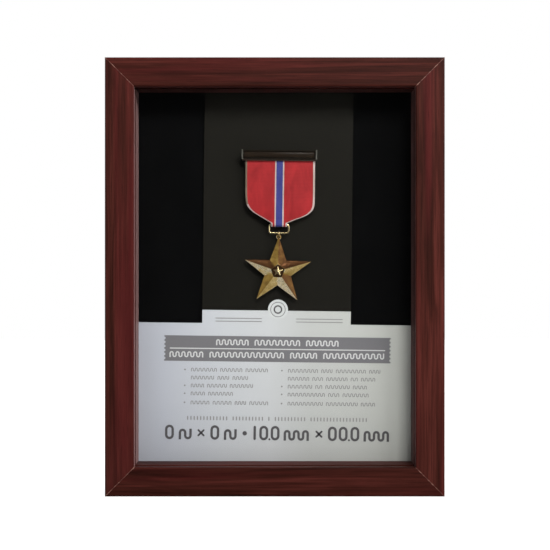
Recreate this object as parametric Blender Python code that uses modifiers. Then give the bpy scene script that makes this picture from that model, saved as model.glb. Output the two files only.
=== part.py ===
"""Medal shadow box: a mitred frame with glass, spacers, velour back, easel and a hanging star medal.

Metres, +Z up. The box stands on its bottom edge on z = 0 and faces -Y. The origin is at the
middle of the footprint of the whole object, folded easel included.
"""

from math import cos, pi, radians, sin, sqrt

import bmesh
import bpy
from mathutils import Matrix, Vector

MM = 0.001
GAP = 0.3 * MM  # clearance between touching pieces

# Insert format and frame moulding
INSERT_WIDTH = 152.4 * MM
INSERT_HEIGHT = 203.2 * MM
RABBET_PLAY = 0.5 * MM
LIP_OVERLAP = 4.7 * MM
RAIL_FACE = 15.0 * MM
FRAME_DEPTH = 24.0 * MM
LIP_DEPTH = 4.5 * MM
OUTER_EASE = 1.3 * MM
INNER_EASE = 0.8 * MM
REAR_EASE = 0.4 * MM
MITRE_BLOCK = 60.0 * MM  # the cutting block's side

RABBET_WIDTH = INSERT_WIDTH + 2 * RABBET_PLAY
RABBET_HEIGHT = INSERT_HEIGHT + 2 * RABBET_PLAY
RAIL_WALL = RAIL_FACE - LIP_OVERLAP
FRAME_WIDTH = RABBET_WIDTH + 2 * RAIL_WALL
FRAME_HEIGHT = RABBET_HEIGHT + 2 * RAIL_WALL
OPENING_WIDTH = FRAME_WIDTH - 2 * RAIL_FACE
OPENING_HEIGHT = FRAME_HEIGHT - 2 * RAIL_FACE

# Layers from the glass to the back board
GLASS_THICKNESS = 2.0 * MM
INNER_DEPTH = 10.0 * MM
CARD_THICKNESS = 0.4 * MM
BOARD_THICKNESS = 3.0 * MM
LAYER_WIDTH = RABBET_WIDTH - 2 * GAP
LAYER_HEIGHT = RABBET_HEIGHT - 2 * GAP

GLASS_AT = LIP_DEPTH + GAP
SPACER_AT = GLASS_AT + GLASS_THICKNESS + GAP
CARD_AT = SPACER_AT + INNER_DEPTH + GAP
VELOUR_AT = CARD_AT + CARD_THICKNESS + GAP
BOARD_AT = FRAME_DEPTH - GAP - BOARD_THICKNESS
BOARD_REAR = BOARD_AT + BOARD_THICKNESS
VELOUR_THICKNESS = BOARD_AT - GAP - VELOUR_AT

# Easel hinge and leg, measured back from the board
LEAF_THICKNESS = 0.6 * MM
LEG_THICKNESS = 3.0 * MM
BARREL_RADIUS = (GAP + LEG_THICKNESS + LEAF_THICKNESS) / 2
BARREL_AT = BOARD_REAR + GAP + BARREL_RADIUS
HINGE_PIN_RADIUS = 0.8 * MM
HINGE_HEIGHT = 150.0 * MM
HINGE_WIDTH = 26.0 * MM
MOVING_KNUCKLE = 10.0 * MM
FIXED_LEAF_RISE = 17.0 * MM
MOVING_LEAF_DROP = 20.0 * MM
STOP_TAB_RISE = 5.9 * MM
LEG_LENGTH = 147.0 * MM
LEG_TOP_WIDTH = 32.0 * MM
LEG_FOOT_WIDTH = 52.0 * MM
LEG_CORNER = 4.0 * MM
RIVET_HEAD_RADIUS = 2.2 * MM
RIVET_HEAD_RISE = 0.6 * MM
RIVET_SHANK_RADIUS = 1.1 * MM
RIVET_GRIP = 2.0 * MM
RIVET_SPREAD = 8.0 * MM
BOARD_RIVET_RISE = 0.68 * FIXED_LEAF_RISE
LEG_RIVET_DROP = 0.62 * MOVING_LEAF_DROP

REAR_STANDOUT = BARREL_AT + BARREL_RADIUS + GAP + RIVET_HEAD_RISE - FRAME_DEPTH
FRONT_Y = -(FRAME_DEPTH + REAR_STANDOUT) / 2

# Turn buttons, hangers and corner nails
BUTTON_LENGTH = 16.0 * MM
BUTTON_RADIUS = 3.0 * MM
BUTTON_THICKNESS = 1.0 * MM
BUTTON_INSET = 5.0 * MM
BUTTON_OFFSET = 55.0 * MM
SCREW_HEAD_RADIUS = 2.7 * MM
SCREW_HEAD_RISE = 1.4 * MM
SCREW_HEAD_EDGE = 0.25 * MM
SCREW_DOME_RADIUS = 3.6 * MM
SCREW_SHANK_RADIUS = 1.2 * MM
SCREW_LENGTH = 9.0 * MM
SCREW_POINT = 2.0 * MM
DRIVE_SLOT = (3.4 * MM, 0.7 * MM, 1.4 * MM)
HANGER_LENGTH = 40.0 * MM
HANGER_HEIGHT = 8.0 * MM
HANGER_THICKNESS = 0.8 * MM
HANGER_RISE = 1.5 * MM
HANGER_END = 8.0 * MM
HANGER_RAMP = 2.5 * MM
TOOTH_PITCH = 2.2 * MM
TOOTH_COUNT = 7
NOTCH_LENGTH = 8.0 * MM
HANGER_NAIL_RADIUS = 0.7 * MM
HANGER_NAIL_HEAD = 1.6 * MM
HANGER_NAIL_LENGTH = 8.0 * MM
HANGER_NAIL_POINT = 1.5 * MM
HANGER_NAIL_CROWN = ((0.0, 0.5 * MM), (0.9 * MM, 0.4 * MM), (HANGER_NAIL_HEAD, 0.1 * MM))
V_NAIL_WING = 5.6 * MM
V_NAIL_THICKNESS = 0.5 * MM
V_NAIL_HEIGHT = 7.0 * MM
V_NAIL_CORNER = 7.0 * MM

# Insert card, set very slightly clockwise in the rabbet
CARD_WIDTH = 152.0 * MM
CARD_HEIGHT = 201.5 * MM
CARD_PANEL_HEIGHT = 76.0 * MM
CARD_NECK_WIDTH = 78.6 * MM
CARD_TILT = radians(0.7)
CARD_ORIGIN_X = -CARD_PANEL_HEIGHT / 2 * sin(CARD_TILT)
CARD_ORIGIN_Z = RAIL_WALL + GAP + CARD_WIDTH / 2 * sin(CARD_TILT)

# Medal, in the card's own frame: x from its centre line, z from its bottom edge
MEDAL_X = 0.8 * MM
BROOCH_Z = 164.9 * MM
BROOCH_LENGTH = 38.1 * MM
BROOCH_HEIGHT = 4.7 * MM
BROOCH_THICKNESS = 1.2 * MM
BROOCH_RIM = 0.5 * MM
BROOCH_AT = 12.1 * MM
LUG_X = 14.0 * MM
LUG_WIDTH = 1.4 * MM
LUG_HEIGHT = 2.0 * MM
PIN_Z = BROOCH_Z + 1.1 * MM
PIN_RADIUS = 0.4 * MM
PIN_AT = 16.2 * MM
PRICK_X = 10.6 * MM
PRICK_SIZE = (3.4 * MM, 1.6 * MM)
PIN_DIVE = 0.9 * MM  # half the run over which the pin passes through the card
PIN_DIVE_REACH = 2.0 * MM
PIN_BEND_IN = 0.4 * MM
PIN_BEND_OUT = 0.2 * MM
PIN_BEHIND = VELOUR_AT + 0.9 * MM
RIBBON_X = MEDAL_X + 0.3 * MM
RIBBON_WIDTH = 36.0 * MM
RIBBON_LAYER = 0.5 * MM
RIBBON_TOP_Z = 164.2 * MM
RIBBON_SHOULDER = (
    (18.0 * MM, 139.4 * MM),
    (17.3 * MM, 137.0 * MM),
    (15.5 * MM, 134.9 * MM),
    (7.4 * MM, 130.8 * MM),
)
RIBBON_TONGUE_HALF = 4.3 * MM
RIBBON_TONGUE_TOP_Z = 129.2 * MM
LOOP_WIRE = 0.45 * MM
LOOP_WIDTH = 11.2 * MM
LOOP_HEIGHT = 5.3 * MM
LOOP_CORNER = 1.0 * MM
LOOP_AT = 14.8 * MM
PENDANT_Z = 123.95 * MM
LOOP_TOP_Z = PENDANT_Z + LOOP_HEIGHT - 2 * LOOP_WIRE
RING_RADIUS = 1.6 * MM
RING_WIRE = 0.3 * MM
RING_DROP = 0.55 * MM
EYELET_RADIUS = 1.0 * MM
EYELET_WIRE = 0.35 * MM
EYELET_DROP = 2.15 * MM
STAR_RADIUS = 17.9 * MM
STAR_VALLEY = 7.1 * MM
STAR_BASE = 1.0 * MM
STAR_RIDGE = 2.6 * MM
STAR_DROP = 20.7 * MM
STAR_POCKET_RADIUS = 3.3 * MM
STAR_POCKET_RISE = 1.0 * MM
SMALL_STAR_RADIUS = 2.7 * MM
SMALL_STAR_VALLEY = 0.4 * SMALL_STAR_RADIUS
SMALL_STAR_BASE = 1.0 * MM
SMALL_STAR_RIDGE = 0.9 * MM
PENDANT_TILT = radians(1.0)

ROUND_STEPS = 24
SMALL_ROUND_STEPS = 16


def depth_y(distance):
    """World Y at a distance behind the front face."""
    return FRONT_Y + distance


def clear_scene():
    for old in list(bpy.data.objects):
        bpy.data.objects.remove(old, do_unlink=True)


def new_collection(name):
    collection = bpy.data.collections.new(name)
    bpy.context.scene.collection.children.link(collection)
    return collection


def new_material(name, colour, roughness, metallic=0.0, alpha=1.0):
    material = bpy.data.materials.new(name)
    material.use_nodes = True
    shader = material.node_tree.nodes["Principled BSDF"]
    shader.inputs["Base Color"].default_value = (*colour, 1.0)
    shader.inputs["Roughness"].default_value = roughness
    shader.inputs["Metallic"].default_value = metallic
    shader.inputs["Alpha"].default_value = alpha
    return material


def add_object(name, mesh, material):
    obj = bpy.data.objects.new(name, mesh)
    mesh.materials.append(material)
    PARTS.objects.link(obj)
    return obj


def add_tool(name, mesh):
    """A cutter or a shape to be joined on, kept out of the parts."""
    obj = bpy.data.objects.new(name, mesh)
    obj.hide_render = True
    obj.display_type = "WIRE"
    TOOLS.objects.link(obj)
    return obj


def place(obj, location=(0, 0, 0), rotation=(0, 0, 0), parent=None):
    obj.location = location
    obj.rotation_euler = rotation
    if parent is not None:
        obj.parent = parent
    return obj


def smooth(mesh):
    mesh.shade_smooth()
    mesh.set_sharp_from_angle(angle=radians(35))


def box_mesh(name, size):
    mesh = bpy.data.meshes.new(name)
    shape = bmesh.new()
    bmesh.ops.create_cube(shape, size=1.0, matrix=Matrix.Diagonal((*size, 1.0)))
    shape.to_mesh(mesh)
    shape.free()
    return mesh


def cylinder_mesh(name, radius, length, axis="Z", steps=ROUND_STEPS):
    turn = {
        "X": Matrix.Rotation(pi / 2, 4, "Y"),
        "Y": Matrix.Rotation(pi / 2, 4, "X"),
        "Z": Matrix.Identity(4),
    }[axis]
    mesh = bpy.data.meshes.new(name)
    shape = bmesh.new()
    bmesh.ops.create_cone(
        shape,
        cap_ends=True,
        segments=steps,
        radius1=radius,
        radius2=radius,
        depth=length,
        matrix=turn,
    )
    shape.to_mesh(mesh)
    shape.free()
    smooth(mesh)
    return mesh


def torus_tool(name, major, minor, upright):
    """A ring in the XZ plane, or in the YZ plane when it isn't upright to the viewer."""
    bpy.ops.mesh.primitive_torus_add(
        major_radius=major,
        minor_radius=minor,
        major_segments=ROUND_STEPS,
        minor_segments=8,
    )
    obj = bpy.context.active_object
    obj.name = name
    turn = Matrix.Rotation(pi / 2, 4, "X" if upright else "Y")
    obj.data.transform(turn)
    for collection in list(obj.users_collection):
        collection.objects.unlink(obj)
    smooth(obj.data)
    return obj


def solid_mesh(curve_obj, turn):
    """The closed mesh of a curve object, which is removed."""
    bpy.context.scene.collection.objects.link(curve_obj)
    depsgraph = bpy.context.evaluated_depsgraph_get()
    mesh = bpy.data.meshes.new_from_object(curve_obj.evaluated_get(depsgraph))
    shape = bmesh.new()
    shape.from_mesh(mesh)
    bmesh.ops.remove_doubles(shape, verts=shape.verts, dist=0.01 * MM)
    bmesh.ops.recalc_face_normals(shape, faces=shape.faces)
    shape.to_mesh(mesh)
    shape.free()
    mesh.transform(turn)
    mesh.name = curve_obj.name
    bpy.data.objects.remove(curve_obj, do_unlink=True)
    return mesh


def poly_spline(curve, points, closed):
    spline = curve.splines.new("POLY")
    spline.points.add(len(points) - 1)
    for control, point in zip(spline.points, points):
        control.co = (*point, *(0.0,) * (3 - len(point)), 1.0)
    spline.use_cyclic_u = closed


def plate_mesh(name, outline, thickness, flat="XZ"):
    """A flat outline given as (x, z), or as (x, y) when flat is XY, centred on its plane."""
    curve = bpy.data.curves.new(name, "CURVE")
    curve.dimensions = "2D"
    curve.fill_mode = "BOTH"
    curve.extrude = thickness / 2
    poly_spline(curve, outline, closed=True)
    turn = Matrix.Rotation(pi / 2, 4, "X") if flat == "XZ" else Matrix.Identity(4)
    return solid_mesh(bpy.data.objects.new(name, curve), turn)


def wire_mesh(name, points, radius, closed=False):
    curve = bpy.data.curves.new(name, "CURVE")
    curve.dimensions = "3D"
    curve.bevel_depth = radius
    curve.bevel_resolution = 2
    curve.use_fill_caps = True
    poly_spline(curve, points, closed)
    mesh = solid_mesh(bpy.data.objects.new(name, curve), Matrix.Identity(4))
    smooth(mesh)
    return mesh


def turned_object(name, profile, material, steps=SMALL_ROUND_STEPS):
    """A profile of (radius, height), from its top to its bottom, turned about Z."""
    mesh = bpy.data.meshes.new(name)
    points = [(radius, 0.0, height) for radius, height in profile]
    edges = [(i, i + 1) for i in range(len(points) - 1)]
    mesh.from_pydata(points, edges, [])
    obj = add_object(name, mesh, material)
    screw = obj.modifiers.new("Turn", "SCREW")
    screw.steps = steps
    screw.render_steps = steps
    screw.use_merge_vertices = True
    screw.merge_threshold = 0.005 * MM
    screw.use_smooth_shade = True
    return obj


def boolean(obj, tool, operation="DIFFERENCE"):
    modifier = obj.modifiers.new(operation.title(), "BOOLEAN")
    modifier.operation = operation
    modifier.solver = "EXACT"
    modifier.object = tool


def arc(centre, radius, start, end, steps):
    """Points from start to end degrees, both included."""
    angles = [radians(start + (end - start) * i / steps) for i in range(steps + 1)]
    return [(centre[0] + radius * cos(a), centre[1] + radius * sin(a)) for a in angles]


def rounded_box_outline(width, height, radius, steps=4):
    half_w = width / 2 - radius
    half_h = height / 2 - radius
    corners = [(half_w, half_h), (-half_w, half_h), (-half_w, -half_h), (half_w, -half_h)]
    outline = []
    for turn, corner in enumerate(corners):
        outline += arc(corner, radius, 90 * turn, 90 * turn + 90, steps)
    return outline


def rail_profile():
    """L-section: x from the outer edge in, y from the front face back."""
    profile = arc((OUTER_EASE, OUTER_EASE), OUTER_EASE, 180, 270, 4)
    profile += arc((RAIL_FACE - INNER_EASE, INNER_EASE), INNER_EASE, 270, 360, 3)
    profile += [
        (RAIL_FACE, LIP_DEPTH),
        (RAIL_WALL, LIP_DEPTH),
        (RAIL_WALL, FRAME_DEPTH),
        (REAR_EASE, FRAME_DEPTH),
        (0.0, FRAME_DEPTH - REAR_EASE),
    ]
    return profile


def make_rail(name, quarter, length, foot, mouldings):
    """A mitred rail. foot is the middle of its outer front edge."""
    mesh = plate_mesh(name, rail_profile(), length, flat="XY")
    rail = add_object(name, mesh, mouldings)
    place(rail, foot, (0, quarter * pi / 2, 0))
    block = MITRE_BLOCK
    for end, sign in (("a", 1), ("b", -1)):
        cutter = add_tool(f"mitre_{name}_{end}", box_mesh("mitre", (block,) * 3))
        outward = Vector((1, 0, sign)).normalized()
        middle = Vector((0, FRAME_DEPTH / 2, sign * length / 2))
        middle += outward * (block / 2 - GAP / 2)
        place(cutter, middle, (0, pi / 4, 0), rail)
        boolean(rail, cutter)
    return rail


def make_frame(moulding):
    half_w = FRAME_WIDTH / 2
    mid_z = FRAME_HEIGHT / 2
    front = depth_y(0)
    return {
        "left": make_rail("frame_rail_left", 0, FRAME_HEIGHT, (-half_w, front, mid_z), moulding),
        "top": make_rail("frame_rail_top", 1, FRAME_WIDTH, (0, front, FRAME_HEIGHT), moulding),
        "right": make_rail("frame_rail_right", 2, FRAME_HEIGHT, (half_w, front, mid_z), moulding),
        "bottom": make_rail("frame_rail_bottom", 3, FRAME_WIDTH, (0, front, 0), moulding),
    }


def v_outline(thickness):
    """A V whose wings run from its corner to the outer edges of two rails."""
    half = thickness / 2
    wing = V_NAIL_WING + half - V_NAIL_THICKNESS / 2
    return [
        (half, half),
        (-wing, half),
        (-wing, -half),
        (-half, -half),
        (-half, -wing),
        (half, -wing),
    ]


def make_v_nails(rails, steel):
    """One V nail pressed into the back of each mitre, in a slot cut in both rails."""
    corners = [("left", "bottom"), ("left", "top"), ("right", "top"), ("right", "bottom")]
    centre_x = FRAME_WIDTH / 2 - V_NAIL_CORNER
    centre_z = FRAME_HEIGHT / 2 - V_NAIL_CORNER
    signs = [(-1, -1), (-1, 1), (1, 1), (1, -1)]
    for number, (pair, (side, rise)) in enumerate(zip(corners, signs), 1):
        nail_mesh = plate_mesh("v_nail", v_outline(V_NAIL_THICKNESS), V_NAIL_HEIGHT)
        nail = add_object(f"v_nail_{number}", nail_mesh, steel)
        slot_mesh = plate_mesh(
            "v_slot", v_outline(V_NAIL_THICKNESS + 2 * GAP), V_NAIL_HEIGHT + 2 * GAP
        )
        slot = add_tool(f"v_slot_{number}", slot_mesh)
        turn = (0, (number - 1) * pi / 2, 0)
        x = side * centre_x
        z = FRAME_HEIGHT / 2 + rise * centre_z
        place(nail, (x, depth_y(FRAME_DEPTH - V_NAIL_HEIGHT / 2), z), turn)
        place(slot, (x, depth_y(FRAME_DEPTH - V_NAIL_HEIGHT / 2), z), turn)
        for rail in pair:
            boolean(rails[rail], slot)


def make_glass(glass):
    pane = add_object(
        "glass_pane", box_mesh("glass_pane", (LAYER_WIDTH, GLASS_THICKNESS, LAYER_HEIGHT)), glass
    )
    place(pane, (0, depth_y(GLASS_AT + GLASS_THICKNESS / 2), FRAME_HEIGHT / 2))


def make_spacers(moulding):
    """Four strips behind the glass, flush with the lip, that set the inner depth."""
    thickness = LIP_OVERLAP - GAP
    long_side = LAYER_HEIGHT - 2 * thickness - 2 * GAP
    y = depth_y(SPACER_AT + INNER_DEPTH / 2)
    mid_z = FRAME_HEIGHT / 2
    side_x = (OPENING_WIDTH + thickness) / 2
    end_z = (OPENING_HEIGHT + thickness) / 2
    strips = {
        "left": ((thickness, INNER_DEPTH, long_side), (-side_x, y, mid_z)),
        "right": ((thickness, INNER_DEPTH, long_side), (side_x, y, mid_z)),
        "top": ((LAYER_WIDTH, INNER_DEPTH, thickness), (0, y, mid_z + end_z)),
        "bottom": ((LAYER_WIDTH, INNER_DEPTH, thickness), (0, y, mid_z - end_z)),
    }
    for side, (size, middle) in strips.items():
        strip = add_object(f"spacer_{side}", box_mesh("spacer", size), moulding)
        place(strip, middle)


def card_outline():
    """An inverted T: a full-width panel below a narrow neck."""
    half = CARD_WIDTH / 2
    neck = CARD_NECK_WIDTH / 2
    return [
        (-half, 0),
        (half, 0),
        (half, CARD_PANEL_HEIGHT),
        (neck, CARD_PANEL_HEIGHT),
        (neck, CARD_HEIGHT),
        (-neck, CARD_HEIGHT),
        (-neck, CARD_PANEL_HEIGHT),
        (-half, CARD_PANEL_HEIGHT),
    ]


def make_card_frame():
    """The tilted frame of the card, in which the medal is set out."""
    empty = bpy.data.objects.new("card_frame", None)
    PARTS.objects.link(empty)
    return place(empty, (CARD_ORIGIN_X, depth_y(0), CARD_ORIGIN_Z), (0, CARD_TILT, 0))


def make_card(card_frame, paper):
    card = add_object(
        "insert_card", plate_mesh("insert_card", card_outline(), CARD_THICKNESS), paper
    )
    place(card, (0, CARD_AT + CARD_THICKNESS / 2, 0), parent=card_frame)
    for name, sign in (("left", -1), ("right", 1)):
        size = (PRICK_SIZE[0], 4 * CARD_THICKNESS, PRICK_SIZE[1])
        prick = add_tool(f"card_prick_{name}", box_mesh("prick", size))
        x = MEDAL_X + sign * PRICK_X
        place(prick, (x, CARD_AT + CARD_THICKNESS / 2, PIN_Z), parent=card_frame)
        boolean(card, prick)


def make_backing(card_frame, velour, board_material):
    mid_z = FRAME_HEIGHT / 2
    pad_size = (LAYER_WIDTH, VELOUR_THICKNESS, LAYER_HEIGHT)
    pad = add_object("velour_pad", box_mesh("velour_pad", pad_size), velour)
    place(pad, (0, depth_y(VELOUR_AT + VELOUR_THICKNESS / 2), mid_z))
    groove_depth = PIN_BEHIND - VELOUR_AT + PIN_RADIUS + GAP
    groove_size = (2 * PRICK_X + 2 * MM, 2 * groove_depth, PRICK_SIZE[1])
    groove = add_tool("pin_groove", box_mesh("pin_groove", groove_size))
    place(groove, (MEDAL_X, VELOUR_AT, PIN_Z), parent=card_frame)
    boolean(pad, groove)
    board_size = (LAYER_WIDTH, BOARD_THICKNESS, LAYER_HEIGHT)
    board = add_object("back_board", box_mesh("back_board", board_size), board_material)
    place(board, (0, depth_y(BOARD_AT + BOARD_THICKNESS / 2), mid_z))
    return board


def make_brooch(card_frame, bronze, steel):
    """The bar with its rim and two lugs, and the pin wire that goes through the card."""
    bar_mesh = box_mesh("brooch_bar", (BROOCH_LENGTH, BROOCH_THICKNESS, BROOCH_HEIGHT))
    bar = add_object("brooch_bar", bar_mesh, bronze)
    place(bar, (MEDAL_X, BROOCH_AT + BROOCH_THICKNESS / 2, BROOCH_Z), parent=card_frame)
    field_size = (
        BROOCH_LENGTH - 2 * BROOCH_RIM,
        BROOCH_RIM,
        BROOCH_HEIGHT - 2 * BROOCH_RIM,
    )
    field = add_tool("brooch_field", box_mesh("brooch_field", field_size))
    place(field, (MEDAL_X, BROOCH_AT, BROOCH_Z), parent=card_frame)
    boolean(bar, field)
    lug_front = BROOCH_AT + BROOCH_THICKNESS / 2
    lug_depth = PIN_AT + PIN_RADIUS + GAP - lug_front
    for name, sign in (("hinge", -1), ("catch", 1)):
        lug = add_tool(f"pin_{name}", box_mesh("lug", (LUG_WIDTH, lug_depth, LUG_HEIGHT)))
        x = MEDAL_X + sign * LUG_X
        place(lug, (x, lug_front + lug_depth / 2, PIN_Z), parent=card_frame)
        boolean(bar, lug, "UNION")
        bore_mesh = cylinder_mesh("bore", PIN_RADIUS + GAP, 3 * LUG_WIDTH, "X", 12)
        bore = add_tool(f"pin_bore_{name}", bore_mesh)
        place(bore, (x, PIN_AT, PIN_Z), parent=card_frame)
        boolean(bar, bore)
    half_route = [
        (LUG_X + LUG_WIDTH, PIN_AT),
        (LUG_X - LUG_WIDTH, PIN_AT),
        (PRICK_X + PIN_DIVE, PIN_AT + PIN_BEND_IN),
        (PRICK_X - PIN_DIVE, PIN_BEHIND - PIN_BEND_OUT),
        (PRICK_X - PIN_DIVE_REACH, PIN_BEHIND),
    ]
    route = [(-x, y, 0) for x, y in half_route] + [(x, y, 0) for x, y in reversed(half_route)]
    pin = add_object("brooch_pin", wire_mesh("brooch_pin", route, PIN_RADIUS), steel)
    place(pin, (MEDAL_X, 0, PIN_Z), parent=card_frame)


def ribbon_outline():
    """The front outline of the folded ribbon, x from its centre line, z from the card's foot."""
    fold_z = LOOP_TOP_Z - LOOP_WIRE - GAP - RIBBON_LAYER
    half_shape = [
        (RIBBON_WIDTH / 2, RIBBON_TOP_Z),
        *RIBBON_SHOULDER,
        (RIBBON_TONGUE_HALF, RIBBON_TONGUE_TOP_Z),
        (RIBBON_TONGUE_HALF, fold_z - 1 * MM),
    ]
    return half_shape + [(-x, z) for x, z in reversed(half_shape)]


def ribbon_section():
    """The folded strip seen from its edge: y from the fold's middle, z from the loop's top bar."""
    inner = LOOP_WIRE + GAP
    outer = inner + RIBBON_LAYER
    top = RIBBON_TOP_Z - LOOP_TOP_Z
    section = [(-outer, top)]
    section += arc((0, 0), outer, 180, 360, 10)
    section += [(outer, top), (inner, top)]
    section += arc((0, 0), inner, 360, 180, 10)
    section += [(-inner, top)]
    return section


def make_ribbon(card_frame, fabric):
    """One strip folded round the top bar of the loop, both ends up behind the bar."""
    strip_mesh = plate_mesh("ribbon", ribbon_section(), RIBBON_WIDTH + 2 * MM)
    strip_mesh.transform(Matrix.Rotation(pi / 2, 4, "Z"))
    ribbon = add_object("ribbon", strip_mesh, fabric)
    place(ribbon, (RIBBON_X, LOOP_AT, LOOP_TOP_Z), parent=card_frame)
    shape = add_tool("ribbon_shape", plate_mesh("ribbon_shape", ribbon_outline(), 8 * MM))
    place(shape, (RIBBON_X, LOOP_AT, 0), parent=card_frame)
    boolean(ribbon, shape, "INTERSECT")


def make_loop(card_frame, gilt):
    """The rectangular wire loop that the ribbon folds round."""
    outline = rounded_box_outline(
        LOOP_WIDTH - 2 * LOOP_WIRE, LOOP_HEIGHT - 2 * LOOP_WIRE, LOOP_CORNER, steps=3
    )
    route = [(x, 0, z) for x, z in outline]
    loop_mesh = wire_mesh("suspension_loop", route, LOOP_WIRE, closed=True)
    loop = add_object("suspension_loop", loop_mesh, gilt)
    place(loop, (RIBBON_X, LOOP_AT, (PENDANT_Z + LOOP_TOP_Z) / 2), parent=card_frame)


def star_mesh(name, radius, valley, base, ridge):
    """A five-pointed star: a flat base centred on y = 0, and ridged arms that rise to the front."""
    mesh = bpy.data.meshes.new(name)
    shape = bmesh.new()
    bmesh.ops.create_cone(
        shape, cap_ends=True, segments=10, radius1=radius, radius2=radius, depth=base
    )
    for vert in shape.verts:
        turn = round(Vector((0, 1)).angle_signed(vert.co.xy) / (pi / 5))
        reach = radius if turn % 2 == 0 else valley
        vert.co.xy = vert.co.xy.normalized() * reach
    top = max(shape.faces, key=lambda face: face.calc_center_median().z)
    bmesh.ops.poke(shape, faces=[top], offset=ridge)
    bmesh.ops.rotate(shape, verts=shape.verts, matrix=Matrix.Rotation(pi / 2, 3, "X"))
    bmesh.ops.recalc_face_normals(shape, faces=shape.faces)
    shape.to_mesh(mesh)
    shape.free()
    return mesh


def make_pendant(card_frame, bronze, gilt):
    """The star with its eyelet, hung by a jump ring from the loop's bottom bar."""
    body = star_mesh("medal_star", STAR_RADIUS, STAR_VALLEY, STAR_BASE, STAR_RIDGE)
    star = add_object("medal_star", body, bronze)
    star.data.transform(Matrix.Translation((0, 0, -STAR_DROP)))
    place(star, (RIBBON_X, LOOP_AT, PENDANT_Z), (0, PENDANT_TILT, 0), card_frame)
    pocket_front = STAR_BASE / 2 + STAR_RIDGE
    pocket_floor = STAR_BASE / 2 + STAR_POCKET_RISE
    pocket_depth = pocket_front - pocket_floor
    pocket_mesh = cylinder_mesh("star_pocket", STAR_POCKET_RADIUS, 2 * pocket_depth, "Y")
    pocket = add_tool("star_pocket", pocket_mesh)
    place(pocket, (0, -pocket_front, -STAR_DROP), parent=star)
    boolean(star, pocket)
    small_mesh = star_mesh(
        "small_star", SMALL_STAR_RADIUS, SMALL_STAR_VALLEY, SMALL_STAR_BASE, SMALL_STAR_RIDGE
    )
    small = add_tool("small_star", small_mesh)
    place(small, (0, -pocket_floor, -STAR_DROP), parent=star)
    boolean(star, small, "UNION")
    eyelet = torus_tool("star_eyelet", EYELET_RADIUS, EYELET_WIRE, upright=True)
    eyelet.hide_render = True
    eyelet.display_type = "WIRE"
    TOOLS.objects.link(eyelet)
    place(eyelet, (0, 0, -EYELET_DROP), parent=star)
    boolean(star, eyelet, "UNION")
    ring = torus_tool("jump_ring", RING_RADIUS, RING_WIRE, upright=False)
    ring.data.materials.append(gilt)
    PARTS.objects.link(ring)
    place(ring, (0, 0, -RING_DROP), parent=star)


def knuckle(name, obj, parent, x, length):
    """A hinge knuckle joined to a leaf."""
    tool = add_tool(name, cylinder_mesh(name, BARREL_RADIUS, length, "X"))
    place(tool, (x, 0, 0), parent=parent)
    boolean(obj, tool, "UNION")


def make_hinge(black_metal, steel):
    """Two leaves and their pin, behind the board. The hinge axis runs along X."""
    axis = bpy.data.objects.new("easel_axis", None)
    PARTS.objects.link(axis)
    place(axis, (0, depth_y(BARREL_AT), HINGE_HEIGHT))

    fixed_size = (HINGE_WIDTH, LEAF_THICKNESS, FIXED_LEAF_RISE)
    fixed = add_object("easel_hinge_fixed_leaf", box_mesh("fixed_leaf", fixed_size), black_metal)
    fixed_y = -BARREL_RADIUS + LEAF_THICKNESS / 2
    place(fixed, (0, fixed_y, FIXED_LEAF_RISE / 2), parent=axis)
    relief_size = (MOVING_KNUCKLE + 2 * GAP, 4 * BARREL_RADIUS, 2 * BARREL_RADIUS + 2 * GAP)
    side_length = (HINGE_WIDTH - MOVING_KNUCKLE) / 2 - GAP
    side_x = (HINGE_WIDTH - side_length) / 2
    relief = add_tool("fixed_relief", box_mesh("relief", relief_size))
    place(relief, parent=axis)
    boolean(fixed, relief)
    knuckle("fixed_knuckle_left", fixed, axis, -side_x, side_length)
    knuckle("fixed_knuckle_right", fixed, axis, side_x, side_length)

    moving_mesh = plate_mesh("moving_leaf", moving_leaf_outline(), LEAF_THICKNESS)
    moving = add_object("easel_hinge_moving_leaf", moving_mesh, black_metal)
    place(moving, (0, BARREL_RADIUS - LEAF_THICKNESS / 2, 0), parent=axis)
    knuckle("moving_knuckle", moving, axis, 0, MOVING_KNUCKLE)

    bore = add_tool(
        "hinge_bore", cylinder_mesh("hinge_bore", HINGE_PIN_RADIUS + GAP, 2 * HINGE_WIDTH, "X", 16)
    )
    place(bore, parent=axis)
    boolean(fixed, bore)
    boolean(moving, bore)
    pin_mesh = cylinder_mesh("hinge_pin", HINGE_PIN_RADIUS, HINGE_WIDTH + 1 * MM, "X", 16)
    place(add_object("easel_hinge_pin", pin_mesh, steel), parent=axis)
    return axis, fixed, moving


def moving_leaf_outline():
    """The leaf below the axis, and the narrow stop tab that rises above it."""
    half = HINGE_WIDTH / 2
    tab = MOVING_KNUCKLE / 2
    clear = BARREL_RADIUS + GAP
    return [
        (-half, -MOVING_LEAF_DROP),
        (half, -MOVING_LEAF_DROP),
        (half, -clear),
        (tab, -clear),
        (tab, STOP_TAB_RISE),
        (-tab, STOP_TAB_RISE),
        (-tab, -clear),
        (-half, -clear),
    ]


def leg_outline():
    """The leg from just under the hinge barrel down to its foot, z from the hinge axis."""
    top = -(BARREL_RADIUS + 2 * GAP)
    foot = -LEG_LENGTH
    half_top = LEG_TOP_WIDTH / 2
    half_foot = LEG_FOOT_WIDTH / 2
    left_side = [
        (-half_top + LEG_CORNER, top),
        (-half_top, top - LEG_CORNER),
        (-half_foot, foot + LEG_CORNER),
        (-half_foot + LEG_CORNER, foot),
    ]
    return left_side + [(-x, z) for x, z in reversed(left_side)]


def make_leg(axis, board_material):
    leg_mesh = plate_mesh("easel_leg", leg_outline(), LEG_THICKNESS)
    leg = add_object("easel_leg", leg_mesh, board_material)
    leg.data.transform(Matrix.Translation((0, -BARREL_RADIUS + LEG_THICKNESS / 2, 0)))
    return place(leg, parent=axis)


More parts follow.
